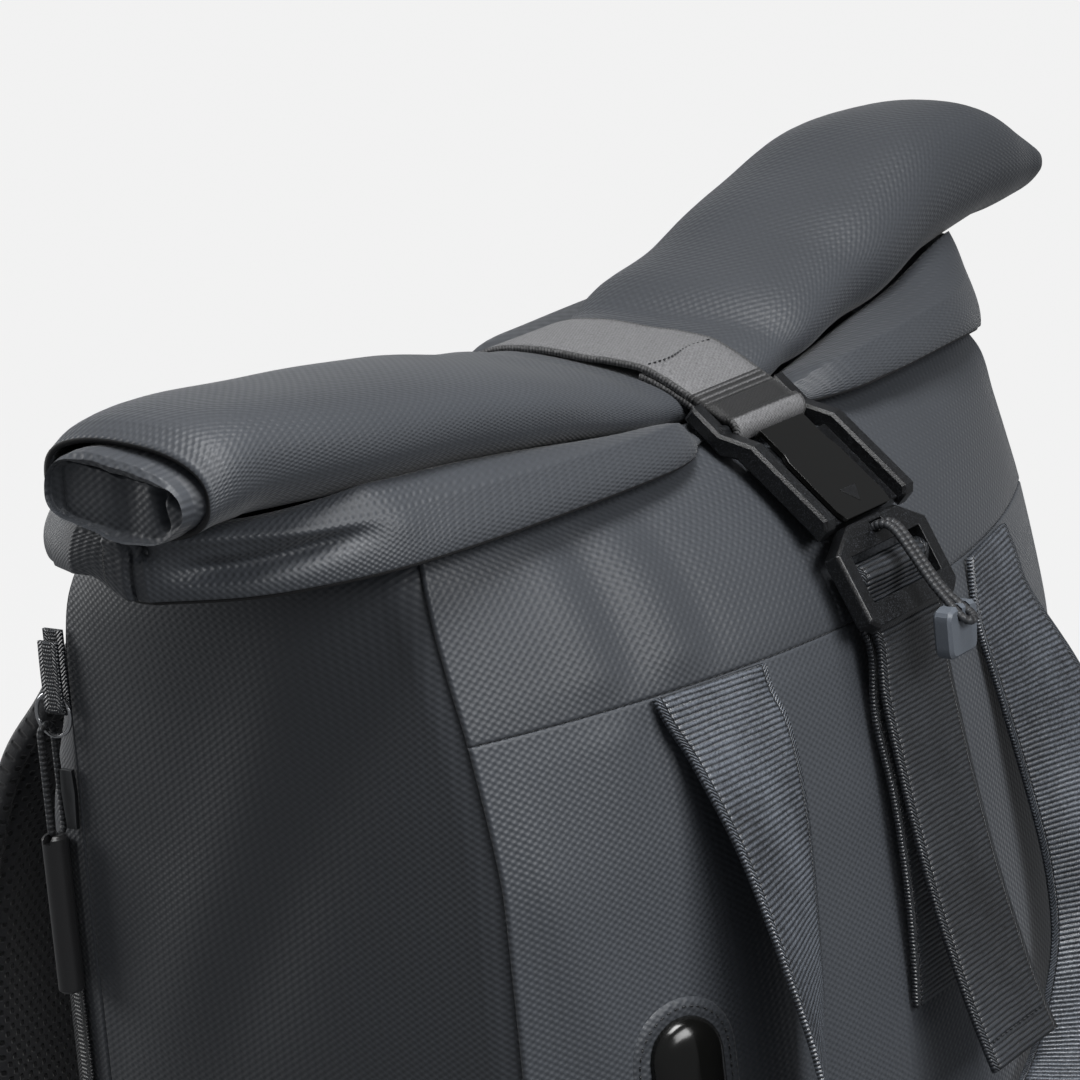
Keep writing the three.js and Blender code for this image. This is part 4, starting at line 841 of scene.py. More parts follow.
def roll_surface(x, y, side):
    """The height of the roll: its top for side 1, its underside for side -1."""
    row = roll(x)
    across = ROLL_DEPTH / 2 * row.deep
    share = clamp((y - ROLL_DEPTH * row.shift) / across, -1, 1)
    turned = SHEET / 2 if side > 0 else SHEET * clamp(0.5 - 2 * share)
    tall = ROLL_HEIGHT / 2 * row.tall * sqrt(1 - share * share) - turned
    return ROLL_CENTRE + ROLL_HEIGHT * row.rise + across * share * tan(radians(row.tilt)) + side * tall


def make_roll(name):
    pitch = SHEET + ROLL_GAP
    start, stop = ROLL.rows[0][0], ROLL.rows[-1][0]

    def place(u, v):
        along = start + (stop - start) * (0.35 * crowd(u) + 0.65 * u)
        x = ROLL_LENGTH / 2 * along
        turn = ROLL_TURNS * v
        angle = radians(-60) + turn * 2 * pi
        y, z = roll_point(x, angle, pitch * turn)
        hidden = 13 * ease(0.42, 0.52, v) * abs(along) ** 8 if along < 0 else 0
        return (x + hidden, y, z), (x, turn * 2 * pi * ROLL_DEPTH * 0.36)

    return sheet(name, 200, 150, place, "cloth", SHEET, 1.0, rim="binding")


FACE_MIDDLE = (-4, 430.5)
FOLDED_END = Profile(
    "turn out line",
    (0, 24.9, 24.0), (13, 24.6, 23.8), (21, 23.4, 22.6), (28, 22.2, 20.4), (41, 19.0, 13.6), (62, 14.6, 9.0),
    (74, 12.8, 7.5), (90, 11.6, 7.0), (110, 11.6, 7.2), (134, 13.2, 8.4), (149, 15.6, 11.0), (158, 17.6, 13.3),
    (167, 19.4, 18.0), (176, 20.8, 20.2), (190, 20.8, 20.4), (200, 18.4, 18.0), (214, 16.0, 15.6),
    (242, 11.4, 11.1), (277, 10.1, 9.8), (300, 10.6, 10.3), (320, 11.9, 11.6), (339, 16.8, 16.4),
    (348, 21.7, 21.0), (354, 24.0, 23.2), (360, 24.9, 24.0),
)


def folded_face(y, z):
    """How deep the gusset's folded face lies: its folds, a crevice and a dark wedge at its narrow side."""
    depth = 1.4 * hump(y, 16.8, 0.7) * ease(422, 428, z) + 1.3 * hump(y + 0.25 * (z - 428), -5, 5)
    wedge = 431.9 + 0.27 * (y + 24)
    depth += 5.5 * hump(z, wedge, 1.1 + 0.1 * max(-15 - y, 0)) * ease(-14, -17, y)
    depth += 4.5 * hump(y - 0.16 * (z - 428), -16, 1.0) * ease(423, 426, z)
    return depth


def inner_turn(centre, direction, x, inset):
    """How far the inside of the roll's outer turn lies from a point, in one direction."""
    row = roll(x)
    wide, tall = ROLL_DEPTH / 2 * row.deep - inset, ROLL_HEIGHT / 2 * row.tall - inset
    off = centre - Vector((ROLL_DEPTH * row.shift, ROLL_CENTRE + ROLL_HEIGHT * row.rise))
    turned = Matrix.Rotation(-radians(row.tilt), 2)
    off, direction = turned @ off, turned @ direction
    a = (direction.x / wide) ** 2 + (direction.y / tall) ** 2
    b = 2 * (off.x * direction.x / wide ** 2 + off.y * direction.y / tall ** 2)
    c = (off.x / wide) ** 2 + (off.y / tall) ** 2 - 1
    return (sqrt(max(b * b - 4 * a * c, 0)) - b) / (2 * a)


def end_cap(name, side):
    """The cloth folded into an end of the roll: a thick lobe round a sunken face."""
    last = ROLL_LENGTH / 2 * (1 if side < 0 else 1.03)
    row_end = roll(side * last)
    inset = SHEET + ROLL_GAP + 0.2
    if side < 0:
        centre = Vector(FACE_MIDDLE)
    else:
        centre = Vector((ROLL_DEPTH * row_end.shift, ROLL_CENTRE + ROLL_HEIGHT * row_end.rise))

    def place(u, v):
        turn = 360 * u
        direction = Vector((cos(radians(turn)), sin(radians(turn))))
        rim = inner_turn(centre, direction, side * last, inset)
        if side < 0:
            row = FOLDED_END.at(turn)
            wide = row.out - row.line
            groove = clamp(wide / 4) * 3.6
            steps = (
                (0.0, rim, last - 18), (0.2, rim, last - 3), (0.32, min(rim + 0.6, row.out), last + 1.2),
                (0.44, row.out - 0.12 * wide, last + 4.4), (0.52, row.out - 0.5 * wide, last + 5.8),
                (0.6, row.out - 0.88 * wide, last + 4.9), (0.66, row.line, last + 4.4 - groove),
                (0.71, row.line - 1.3, last + 3.2), (1.0, 0.0, last + 3.6),
            )
        else:
            steps = (
                (0.0, rim, last - 16), (0.4, rim, last - 3), (0.55, rim - 1.0, last - 1.5),
                (0.7, rim * 0.6, last - 4), (1.0, 0.0, last - 4),
            )
        k = 1
        while k < len(steps) - 1 and steps[k][0] < v:
            k += 1
        before, after = steps[k - 1], steps[k]
        t = clamp((v - before[0]) / (after[0] - before[0]))
        reach = before[1] + (after[1] - before[1]) * t
        out = before[2] + (after[2] - before[2]) * t
        y, z = centre + direction * reach
        if side < 0:
            out -= folded_face(y, z) * ease(0.66, 0.74, v)
        return (side * out, y, z), (y, z)

    return sheet(name, 120, 90, place, "cloth", inside=(0, 0, 431), merge=True, levels=1)


def collar_point(along, side, level):
    """A point of the collar's outside; side runs from -1, the front, to 1, the back."""
    row = COLLAR.at(along)
    reach = row.front if side < 0 else row.back
    half = COLLAR_DEPTH / 2 * reach - COLLAR_LEAN * level * min(1, 2 * reach)
    x = COLLAR_LENGTH / 2 * along
    y = COLLAR_MIDDLE + side * half
    low = COLLAR_HEM + COLLAR_HEIGHT * (row.low + row.tuck * ease(-0.6, 0.6, side))
    under = roll_surface(x, y, -1) - 2 * FIT
    high = min(COLLAR_HEM + COLLAR_HEIGHT * row.high, under)
    return Vector((x, y, low + (high - low) * level))


def mouth_point(along, side):
    """Where the collar turns in under the roll."""
    rim = collar_point(along, side, 1)
    x = rim.x - copysign(COLLAR_LEAN * abs(along) ** 6, rim.x)
    under = ROLL_DEPTH * (roll(x).shift + side * 0.42 * roll(x).deep)
    inside = rim.y - side * min(COLLAR_LEAN, abs(rim.y - COLLAR_MIDDLE) / 2)
    y = max(inside, under) if side < 0 else min(inside, under)
    return Vector((x, y, roll_surface(x, y, -1) - 2 * FIT))


# Shares of the collar: round each end, and up to its hem, its rim and the mouth.
COLLAR_END, HEM_SHARE, RIM_SHARE = 0.06, 0.1, 0.74


def collar_ring(u):
    """Goes once round the collar from the middle of its left end: how far along it, and which side."""
    first, last = COLLAR.rows[0][0], COLLAR.rows[-1][0]
    turned = min(u, 1 - u)
    along = first + (last - first) * crowd(clamp((turned - COLLAR_END) / (0.5 - 2 * COLLAR_END)))
    side = sin(pi / 2 * clamp(min(turned, 0.5 - turned) / COLLAR_END))
    return along, -side if u < 0.5 else side


def collar_relief(point, side, level):
    """How far the collar's outside stands out: its crown, a pleat by the left end and the end's overlap."""
    x, y = point.x, point.y
    out = 1.0 + 1.3 * sin(pi * clamp(level) ** 0.8)
    if side < 0:
        pleat = 1 - ease(-190, -167, x)
        hollow = 0.44 + 0.3 * ease(-206, -168, x)
        out -= 4.6 * pleat * hump(level, hollow, 0.17) * ease(-212, -203, x)
        out += 2.3 * pleat * hump(level, 0.93, 0.13)
        out += 1.1 * hump(x, -165, 7) * hump(level, 0.8, 0.3)
        out -= 0.9 * hump(x - 6 * level, 62, 9) + 0.8 * hump(x, 96, 12) * level
    if x < -205:
        out += 1.3 * ease(8.4, 8.9, y) * (1 - ease(30, 80, y)) - 2.6 * hump(y, 8.2, 0.5)
        out -= 4.2 * hump(y, 4.8, 1.9) * hump(level, 0.84, 0.16)
    return out


def make_collar(name):
    step = 0.002

    def place(u, v):
        along, side = collar_ring(u)
        hem, rim, mouth = collar_point(along, side, 0), collar_point(along, side, 1), mouth_point(along, side)
        ahead = collar_point(*collar_ring((u + step) % 1), 0.5) - collar_point(*collar_ring((u - step) % 1), 0.5)
        outward = Vector((ahead.y, -ahead.x, 0)).normalized()
        centre = Vector((hem.x * 0.9, COLLAR_MIDDLE, hem.z + 5))
        if v < HEM_SHARE:
            turned_in = 1 - v / HEM_SHARE
            point = hem.lerp(centre, 0.02 + 0.08 * turned_in)
            point.z = hem.z + 4 * turned_in ** 2
        elif v < RIM_SHARE:
            level = (v - HEM_SHARE) / (RIM_SHARE - HEM_SHARE)
            point = hem.lerp(rim, level) + outward * (collar_relief(hem.lerp(rim, level), side, level) - 0.6)
        else:
            t = (v - RIM_SHARE) / (1 - RIM_SHARE)
            point = rim.lerp(mouth, t) + outward * (collar_relief(rim, side, 1) - 0.6) * (1 - t)
            point.z += 1.0 * sin(pi * t)
        turned = -clamp(point.x / 150, -1, 1) * (-1 if side > 0 else 1)
        return point, (point.x - turned * point.y, v * 32)

    return sheet(name, 420, 54, place, "cloth", 1.3, inside=(0, 15, 415), merge=True)


def collar_hem(count):
    """The line for a near-black tube of painted shadow under the collar's hem, a little inside the collar's lower
    edge.
    """
    line = []
    for i in range(count + 1):
        x, y, z = collar_point(*collar_ring(i / count % 1), 0)
        line.append(Vector((x * 0.992, COLLAR_MIDDLE + (y - COLLAR_MIDDLE) * 0.985, z - 0.3)))
    return line


# Straps, buckle and cord

def over_roll(y, stand):
    """A point of y, z and tilt for a strap that lies over the roll."""
    left, right = roll_surface(-STRAP / 2, y, 1), roll_surface(STRAP / 2, y, 1)
    middle = max(roll_surface(0, y, 1), (left + right) / 2)
    return [y, middle + stand + FIT / 2, atan2(right - left, STRAP) * 180 / pi]


def closure_points():
    """From its sewn end behind the bag, over the roll, round the buckle's bar and back."""
    stand = FIT + WEBBING / 2
    layer = WEBBING + 2 * FIT
    points = []
    for height in (SEWN_LOW, YOKE, 0.908 * BODY_HEIGHT, 0.945 * BODY_HEIGHT):
        points.append([back_y(height) + stand + FIT, height, 0])
    collar_back = COLLAR_MIDDLE + COLLAR_DEPTH / 2
    points.append([max(collar_back, back_y(0.978 * BODY_HEIGHT)) + stand + 1, 0.978 * BODY_HEIGHT, 0])
    points.append([collar_back + stand + 0.4, COLLAR_HEM + COLLAR_HEIGHT * 0.25, 0])
    points.append([collar_back - COLLAR_LEAN, COLLAR_HEM + COLLAR_HEIGHT * 0.24 + stand + 3, 0])
    roll_back = ROLL_DEPTH * (roll(0).shift + 0.5)
    back = over_roll(roll_back * 0.96, stand)
    points.append([roll_back + stand + 2, back[1] - 3, back[2]])
    for share in (0.96, 0.85, 0.65, 0.35, 0):
        points.append(over_roll(roll_back * share, stand))
    for share in (0.16, 0.4, 0.52, 0.66):
        points.append(over_roll(-BAR_BEHIND * share, stand + layer * min(1, share * 2.5)))
    bend = BAR_RADIUS + stand + FIT / 4
    for angle in (105, 70, 35, 0, -35, -70, -105, -140):
        turned = radians(180 - angle)
        points.append([-BAR_BEHIND + bend * cos(turned), BAR_HEIGHT + bend * sin(turned), 0])
    nose = over_roll(-BAR_BEHIND * 0.66, stand)
    points.append([-BAR_BEHIND * 0.8, nose[1] - WEBBING * 2.3, nose[2] / 2])
    for share in (0.66, 0.52, 0.4):
        points.append(over_roll(-BAR_BEHIND * share, stand))
    return points


def closure_fold():
    """How far along the closure strap it starts to turn round the bar."""
    points = [Vector(point[:2]) for point in closure_points()]
    return sum((b - a).length for a, b in zip(points[:18], points[1:18]))


def slope_frame(y, z, slope):
    """A plane's own x, s and n, down its slope and out of it."""
    angle = radians(slope)
    columns = ((-1, 0, 0), (0, -cos(angle), -sin(angle)), (0, -sin(angle), cos(angle)))
    turn = Matrix(columns).transposed().to_4x4()
    return Matrix.Translation((0, y, z)) @ turn


UPPER = slope_frame(-BAR_BEHIND - 7.5, BAR_HEIGHT - 0.5, 41)
COVER_END = UPPER @ Vector((0, COVER_LENGTH, 0))
LOWER = slope_frame(COVER_END.y - 0.6, COVER_END.z - 0.9, 62)


def front_strap_points():
    """From its anchor up to the adjuster bar, round it and down as the tail."""
    bend = BAR_RADIUS + 1.3 * FIT + WEBBING / 2
    behind = FOOT_TOP - FOOT_THICK - FIT - WEBBING / 2
    local = [(BASE_LENGTH + 4, behind - 3.6), (ADJUSTER_S + 8, behind - 3.1)]
    for angle in (75, 110, 145, 180, 215, 250, 285):
        turned = radians(angle - 90)
        local.append((ADJUSTER_S - bend * sin(turned), ADJUSTER_N - bend * cos(turned)))
    local += [(ADJUSTER_S + 5.4, behind + 0.9), (WINDOW_FOOT, behind), (BASE_LENGTH + 3, behind - 0.1)]
    turned = [LOWER @ Vector((0, s, n)) for s, n in local]
    anchor = []
    for share in (0, 0.12, 0.35, 0.6, 0.82):
        z = ANCHOR_LOW + (turned[0].z - ANCHOR_LOW) * share
        anchor.append((front_y(0, z) - FIT - WEBBING / 2 - 3.2 * sin(pi * share), z, 0))
    tail = []
    end = turned[-1]
    for share in (0.12, 0.25, 0.42, 0.62, 0.8, 0.93, 1):
        z = end.z + (TAIL_LOW - end.z) * share
        tail.append((min(front_y(0, z) - 7 - 3.5 * share - TAIL_KICK * share ** 3, end.y - 4 * share), z, 0))
    return anchor + [(point.y, point.z, 0) for point in turned] + tail


def cord_line():
    """One strand out to the tab and its mirrored return."""
    strand = [LOWER @ Vector((x * CORD, s, n)) for x, s, n in CORD_POINTS]
    back = [Vector((-point.x, point.y, point.z)) for point in reversed(strand)]
    return spline(strand + back, 60)


def handle_frames():
    """The hanging handle, which turns on edge towards its middle."""
    rows = []
    for down, side, off, twist in HANDLE:
        z = YOKE - HANDLE_DROP * down
        x = -HANDLE_SPREAD / 2 * side
        rows.append((x, front_y(x, z) - HANDLE_WIDTH * off, z, radians(twist)))
    mirrored = [(-x, y, z, pi - twist) for x, y, z, twist in reversed(rows[:-1])]
    places = [Vector((x, y, z)) for x, y, z, _ in rows + mirrored]
    sides = [Vector((cos(t), sin(t), 0)) for _, _, _, t in rows + mirrored]
    count = 161
    keyed = spline([tuple(place) + tuple(side) for place, side in zip(places, sides)], count)
    return [(Vector(key[:3]), Vector(key[3:])) for key in keyed]


def arched(width, height, u):
    """A point of an outline with two round ends, and how it goes round them."""
    radius = width / 2
    straight = height - width
    total = 2 * pi * radius + 2 * straight
    at = u * total
    if at < pi * radius:
        angle = at / radius
        return radius * cos(angle), straight / 2 + radius * sin(angle)
    at -= pi * radius
    if at < straight:
        return -radius, straight / 2 - at
    at -= straight
    if at < pi * radius:
        angle = pi + at / radius
        return radius * cos(angle), -straight / 2 + radius * sin(angle)
    return radius, -straight / 2 + (at - pi * radius)


def port_point(x, z, out):
    return front_point(-PORT_SIDE + x, PORT_MIDDLE + z, out)


def port_patch(name):
    def place(u, v):
        x, z = arched(PATCH_WIDTH, PATCH_HEIGHT, u)
        share = 1 - (1 - v) ** 1.5
        x, z = x * share, z * share
        edge = PATCH_WIDTH / 2 * (1 - share)
        out = FIT + PATCH_THICK - tuck(edge, 1.2) * 0.8 - 0.5 * hump(edge, 2.6, 0.5)
        return port_point(x, z, out), (x, z)

    return sheet(name, 96, 20, place, "cloth", inside=(-PORT_SIDE, 0, PORT_MIDDLE), merge=True)


def port_cover(name):
    base = PATCH_THICK + 2 * FIT

    def place(u, v):
        share = sin(pi / 2 * (1 - v))
        rise = cos(pi / 2 * (1 - v)) ** 0.8
        x, z = arched(COVER_WIDTH, PORT_HEIGHT, u)
        narrow = COVER_WIDTH / 2 * (1 - share)
        z = copysign(max(abs(z) - narrow, 0), z)
        return port_point(x * share, z, base + PORT_RISE * rise - PORT_SINK), (x, z)

    return sheet(name, 96, 18, place, "gloss", inside=(-PORT_SIDE, 0, PORT_MIDDLE), merge=True)


def gusset_x(z, behind):
    """The left gusset, that far behind its seam."""
    return body(z).turn * behind / body(z).gusset - ridge_half(z) * SEAM_SHARE


def zip_frames(behind, off, low, high, count):
    frames = []
    for i in range(count):
        z = low + (high - low) * i / (count - 1)
        turn = body(z).turn
        stand = off / sqrt(1 + turn * turn)
        frames.append((
            (gusset_x(z, behind) - stand, seam_y(z) + behind + stand * turn, z), (turn, 1, 0),
        ))
    return frames


def loop_frames(count):
    """The webbing loop by the zip: up the seam, down and round the ring."""
    fold = (RING_WIRE + FIT + LOOP_THICK) / 2
    path = [(LOOP_X + fold, LOOP_TOP), (LOOP_X + fold, LOOP_FOLD + 14), (LOOP_X + fold, LOOP_FOLD + 5)]
    for angle in range(0, 181, 30):
        turned = radians(angle)
        path.append((LOOP_X + fold * cos(turned), LOOP_FOLD - fold * sin(turned)))
    path += [(LOOP_X - fold, LOOP_FOLD + 5), (LOOP_X - fold, LOOP_FOLD + 13), (LOOP_X - fold + 0.2, LOOP_TOP - 3)]
    return [((x, LOOP_Y, z), (0, 1, 0)) for x, z in spline(path, count)]


def puller_line(count):
    """The closed cord loop: two half circles joined by straight runs."""
    low, high = [corner / MM for corner in map(Vector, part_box("pull_loop"))]
    middle = (low + high) / 2
    reach, half = (high.x - low.x) / 2 - CORD_LOOP, (high.z - low.z) / 2 - CORD_LOOP
    ring = []
    for i in range(count):
        turned = 2 * pi * i / (count - 1)
        up = copysign(half - reach, cos(turned)) + reach * cos(turned)
        ring.append(middle + Vector((reach * sin(turned), 0, up)))
    return ring


def shoulder_rows(side, count):
    rows = [
        (side * SHOULDER_SPREAD / 2 * wide, SEAM_BACK + GUSSET + SHOULDER_REACH * out, BODY_HEIGHT * up, width)
        for out, up, wide, width in SHOULDER
    ]
    return spline(rows, count)


def shoulder_frames(side, count):
    rows = shoulder_rows(side, count)
    frames = []
    for i, row in enumerate(rows):
        before, after = Vector(rows[max(i - 1, 0)][:3]), Vector(rows[min(i + 1, count - 1)][:3])
        along = (after - before).normalized()
        across = Vector((1, 0, 0))
        across = (across - along * across.dot(along)).normalized()
        frames.append((Vector(row[:3]), across, along.cross(across), SHOULDER_WIDTH * row[3]))
    return frames


def make_shoulder(name, side):
    count = 110
    frames = shoulder_frames(side, count)

    def place(u, v):
        i = round(v * (count - 1))
        middle, across, up, width = frames[i]
        angle = 2 * pi * u
        a, b = cos(angle), sin(angle)
        flat = copysign(abs(a) ** 0.45, a)
        thick = copysign(abs(b) ** 0.6, b)
        groove = 1 - 0.35 * hump(abs(flat), 0.84, 0.05)
        ends = sqrt(clamp(min(v, 1 - v) / 0.018))
        point = middle + across * flat * width / 2 * (0.96 + 0.04 * ends)
        point = point + up * thick * SHOULDER_THICK / 2 * groove * (0.35 + 0.65 * ends)
        return point, (flat * width / 2, v * SHOULDER_RUN)

    return seal(sheet(name, 64, count - 1, place, "spacer", merge=True))


def lower_frames(side, count):
    """The webbing from a shoulder strap's end to the body's lower corner."""
    before, end = [Vector(row[:3]) for row in shoulder_rows(side, 110)[-2:]]
    along = (end - before).normalized()
    seat = Vector((side * LOWER_SIDE, back_y(LOWER_HEIGHT) + FIT + WEBBING / 2, LOWER_HEIGHT))
    path = [
        end + along * FIT, end + along * 6.5, seat + Vector((-side, 12.5, 25)),
        seat + Vector((0, WEBBING / 2, 8.7)), seat,
    ]
    return [(point, (1, 0, 0)) for point in spline(path, count)]


def haul_frames(count):
    """The carrying loop, sewn flat at both feet."""
    foot = back_y(HAUL_FOOT) + 2 * FIT + WEBBING
    frames = []
    for i in range(count):
        share = 2 * i / (count - 1) - 1
        rise = sqrt(max(1 - share ** 4, 0))
        middle = (HAUL_HALF * share, foot + HAUL_REACH * rise, HAUL_FOOT + HAUL_RISE * rise)
        frames.append((middle, (0, -0.35, 1)))
    return frames


def make_pad(name):
    """The back pad: three crowned channels of spacer mesh."""
    base = back_y(BODY_HEIGHT / 2) + FIT

    def place(u, v):
        x = PAD_WIDTH / 2 * (2 * u - 1)
        z = PAD_LIFT + PAD_HEIGHT * v
        cx = max(abs(x) - (PAD_WIDTH / 2 - 26), 0)
        cz = max(abs(z - PAD_LIFT - PAD_HEIGHT / 2) - (PAD_HEIGHT / 2 - 26), 0)
        corner = hypot(cx, cz)
        if corner > 0:
            limit = 26 / max(corner, 26)
            x -= copysign(cx * (1 - limit), x)
            z -= copysign(cz * (1 - limit), z - PAD_LIFT - PAD_HEIGHT / 2)
        rim = min(min(u, 1 - u) * PAD_WIDTH, min(v, 1 - v) * PAD_HEIGHT)
        rise = PAD_THICK * (0.3 + 0.7 * ease(0, 14, rim))
        for seam in (-0.31, 0.31):
            rise -= 5.5 * hump(x, seam * PAD_WIDTH, 4.5)
        rise -= 4.0 * hump(z, PAD_LIFT + PAD_HEIGHT * 0.36, 4.5) * ease(0.3, 0.33, abs(x) / PAD_WIDTH)
        return (x, base + rise, z), (x, z)

    return sheet(name, 100, 120, place, "spacer", 2.0, inside=(0, 0, 170))


# Settings, operators and panel

class ClothSettings(bpy.types.PropertyGroup):
    # The dark colour sits in the weave's hollows, so it is partly painted shade.
    dark: FloatVectorProperty(
        name="Dark", description="Cloth colour between its ribs", subtype="COLOR", size=3,
        default=(0.022, 0.025, 0.0295),
    )
    light: FloatVectorProperty(
        name="Light", description="Cloth colour on its ribs", subtype="COLOR", size=3,
        default=(0.062, 0.0685, 0.08),
    )
    column: FloatProperty(name="Column", description="Width of one rib of the weave, in millimetres", default=2.9)
    row: FloatProperty(name="Row", description="Height of one bump of the weave, in millimetres", default=2.0)
    relief: FloatProperty(name="Relief", description="Depth of the weave, in millimetres", default=0.2)


class WebbingSettings(bpy.types.PropertyGroup):
    # The dark colour sits in the hollows between the ribs, so it is partly painted shade.
    dark: FloatVectorProperty(
        name="Dark", description="Webbing colour between its ribs", subtype="COLOR", size=3,
        default=(0.003, 0.0034, 0.0042),
    )
    light: FloatVectorProperty(
        name="Light", description="Webbing colour on its ribs", subtype="COLOR", size=3,
        default=(0.052, 0.058, 0.068),
    )
    twill: FloatVectorProperty(
        name="Twill", description="Colour of the closure strap", subtype="COLOR", size=3,
        default=(0.235, 0.235, 0.242),
    )
    relief: FloatProperty(name="Relief", description="Depth of the ribs, in millimetres", default=0.45)


class StageSettings(bpy.types.PropertyGroup):
    key: FloatProperty(name="Key", description="Power of the large light before the front", default=2.9, unit="POWER")
    top: FloatProperty(name="Top", description="Power of the large light overhead", default=4.8, unit="POWER")
    rim: FloatProperty(name="Rim", description="Power of the light behind", default=11, unit="POWER")
    sky: FloatProperty(name="Sky", description="Strength of the light from all round", default=0.2)


def add_light(name, place, target, size, power, spread=180):
    light = bpy.data.lights.new(name, "AREA")
    light.shape = "RECTANGLE"
    light.spread = radians(spread)
    light.size, light.size_y = size
    light.energy = power
    lamp = bpy.data.objects.new(name, light)
    lamp.location = place
    lamp.rotation_euler = (Vector(target) - Vector(place)).to_track_quat("-Z", "Y").to_euler()
    bpy.context.scene.collection.objects.link(lamp)


class BACKPACK_OT_stage(bpy.types.Operator):
    """Camera, soft studio lights and a pale floor"""
    bl_idname = "backpack.stage"
    bl_label = "Stage"

    def execute(self, context):
        scene = context.scene
        settings = scene.backpack_stage
        turn, lift, roll_angle = radians(CAMERA_TURN), radians(CAMERA_LIFT), radians(CAMERA_ROLL)
        level = Vector((cos(turn), -sin(turn), 0))
        upward = Vector((sin(turn) * sin(lift), cos(turn) * sin(lift), cos(lift)))
        ahead = upward.cross(level)
        right = level * cos(roll_angle) - upward * sin(roll_angle)
        up = level * sin(roll_angle) + upward * cos(roll_angle)
        data = bpy.data.cameras.new("camera")
        data.sensor_width = 36
        data.lens = CAMERA_LENS
        camera = bpy.data.objects.new("camera", data)
        place = (Vector(CAMERA_AIM) - ahead * CAMERA_DISTANCE) * MM
        turned = Matrix((right, up, -ahead)).transposed().to_4x4()
        camera.matrix_world = Matrix.Translation(place) @ turned
        scene.collection.objects.link(camera)
        scene.camera = camera

        world = bpy.data.worlds.new("sky")
        world.use_nodes = True
        sky = world.node_tree.nodes["Background"]
        sky.inputs["Color"].default_value = (0.95, 0.97, 1.0, 1)
        sky.inputs["Strength"].default_value = settings.sky
        scene.world = world
        scene.view_settings.view_transform = "Standard"
        add_light("key", (-0.25, -1.25, 1.0), (-0.27, -0.05, 0.28), (0.8, 0.6), settings.key, 80)
        add_light("top", (-0.25, -0.3, 1.7), (-0.27, 0, 0.4), (0.8, 0.6), settings.top, 80)
        add_light("rim", (-0.5, 1.6, 0.8), (-0.1, 0.1, 0.3), (0.8, 0.8), settings.rim)

        floor_radius, floor_glow = 14, 0.88
        floor = Shade("floor", Roughness=0.9, Specular_IOR_Level=0.0)
        cloud = floor.noise(3.0, 2.0)
        floor.paint("Base Color", floor.mix(cloud, (0.028, 0.028, 0.028, 1), (0.032, 0.032, 0.032, 1)))
        floor.feed(floor.surface.inputs["Emission Color"], (1, 1, 1, 1))
        floor.feed(floor.surface.inputs["Emission Strength"], floor_glow)
        bm = bmesh.new()
        bmesh.ops.create_icosphere(bm, subdivisions=5, radius=floor_radius)
        for vert in bm.verts:
            vert.co.z = max(vert.co.z, 0)
        bmesh.ops.remove_doubles(bm, verts=bm.verts, dist=0.001)
        bmesh.ops.reverse_faces(bm, faces=bm.faces)
        for face in bm.faces:
            face.smooth = True
        mesh = bpy.data.meshes.new("floor")
        bm.to_mesh(mesh)
        bm.free()
        mesh.materials.append(floor.material)
        ground = bpy.data.objects.new("floor", mesh)
        ground.visible_diffuse = ground.visible_glossy = ground.visible_shadow = False
        scene.collection.objects.link(ground)
        return {"FINISHED"}


class BACKPACK_OT_cord(bpy.types.Operator):
    """The doubled release cord and its moulded tab"""
    bl_idname = "backpack.cord"
    bl_label = "Release cord"

    def execute(self, context):
        path = cord_line()
        cord = settle(tube("release_cord", path, CORD / 2, "braid", 14), "webbing", "pull_cord")
        tab = rounded_copy("cord_tab", "pull_tab", 0.5, "soft_black", "plastic")
        length = sum((b - a).length for a, b in zip(path, path[1:])) * MM
        path[0] * MM
        [point * MM for point in path]
        return {"FINISHED"}


class BACKPACK_OT_body(bpy.types.Operator):
    """The body's sewn panels"""
    bl_idname = "backpack.body"
    bl_label = "Body"

    def execute(self, context):
        # The front panel wears a lighter copy of the cloth: painted light.
        panels = (
            front_panel("front_panel", 0, YOKE, "front_cloth"), front_panel("yoke_panel", YOKE, BODY_HEIGHT, "cloth"),
            side_panel("side_panel_left", -1), side_panel("side_panel_right", 1),
            back_panel("back_panel"), base_panel("base_panel"),
        )
        for panel in panels:
            settle(panel, "fabric", "bag_body")
        return {"FINISHED"}


class BACKPACK_OT_roll(bpy.types.Operator):
    """The collar, the rolled mouth and the gussets folded into its ends"""
    bl_idname = "backpack.roll"
    bl_label = "Roll and collar"

    def execute(self, context):
        settle(make_collar("collar"), "fabric", "collar_fold")
        # A thin near-black tube along the hem stands for the shadow under it: painted shadow.
        settle(tube("hem_shadow_line", collar_hem(360), 0.75, "binding", 8, closed=True), "fabric")
        settle(make_roll("mouth_roll"), "fabric", "rolled_top")
        settle(end_cap("roll_end_left", -1), "fabric", "roll_tuck_left")
        settle(end_cap("roll_end_right", 1), "fabric", "roll_tuck_right")
        return {"FINISHED"}


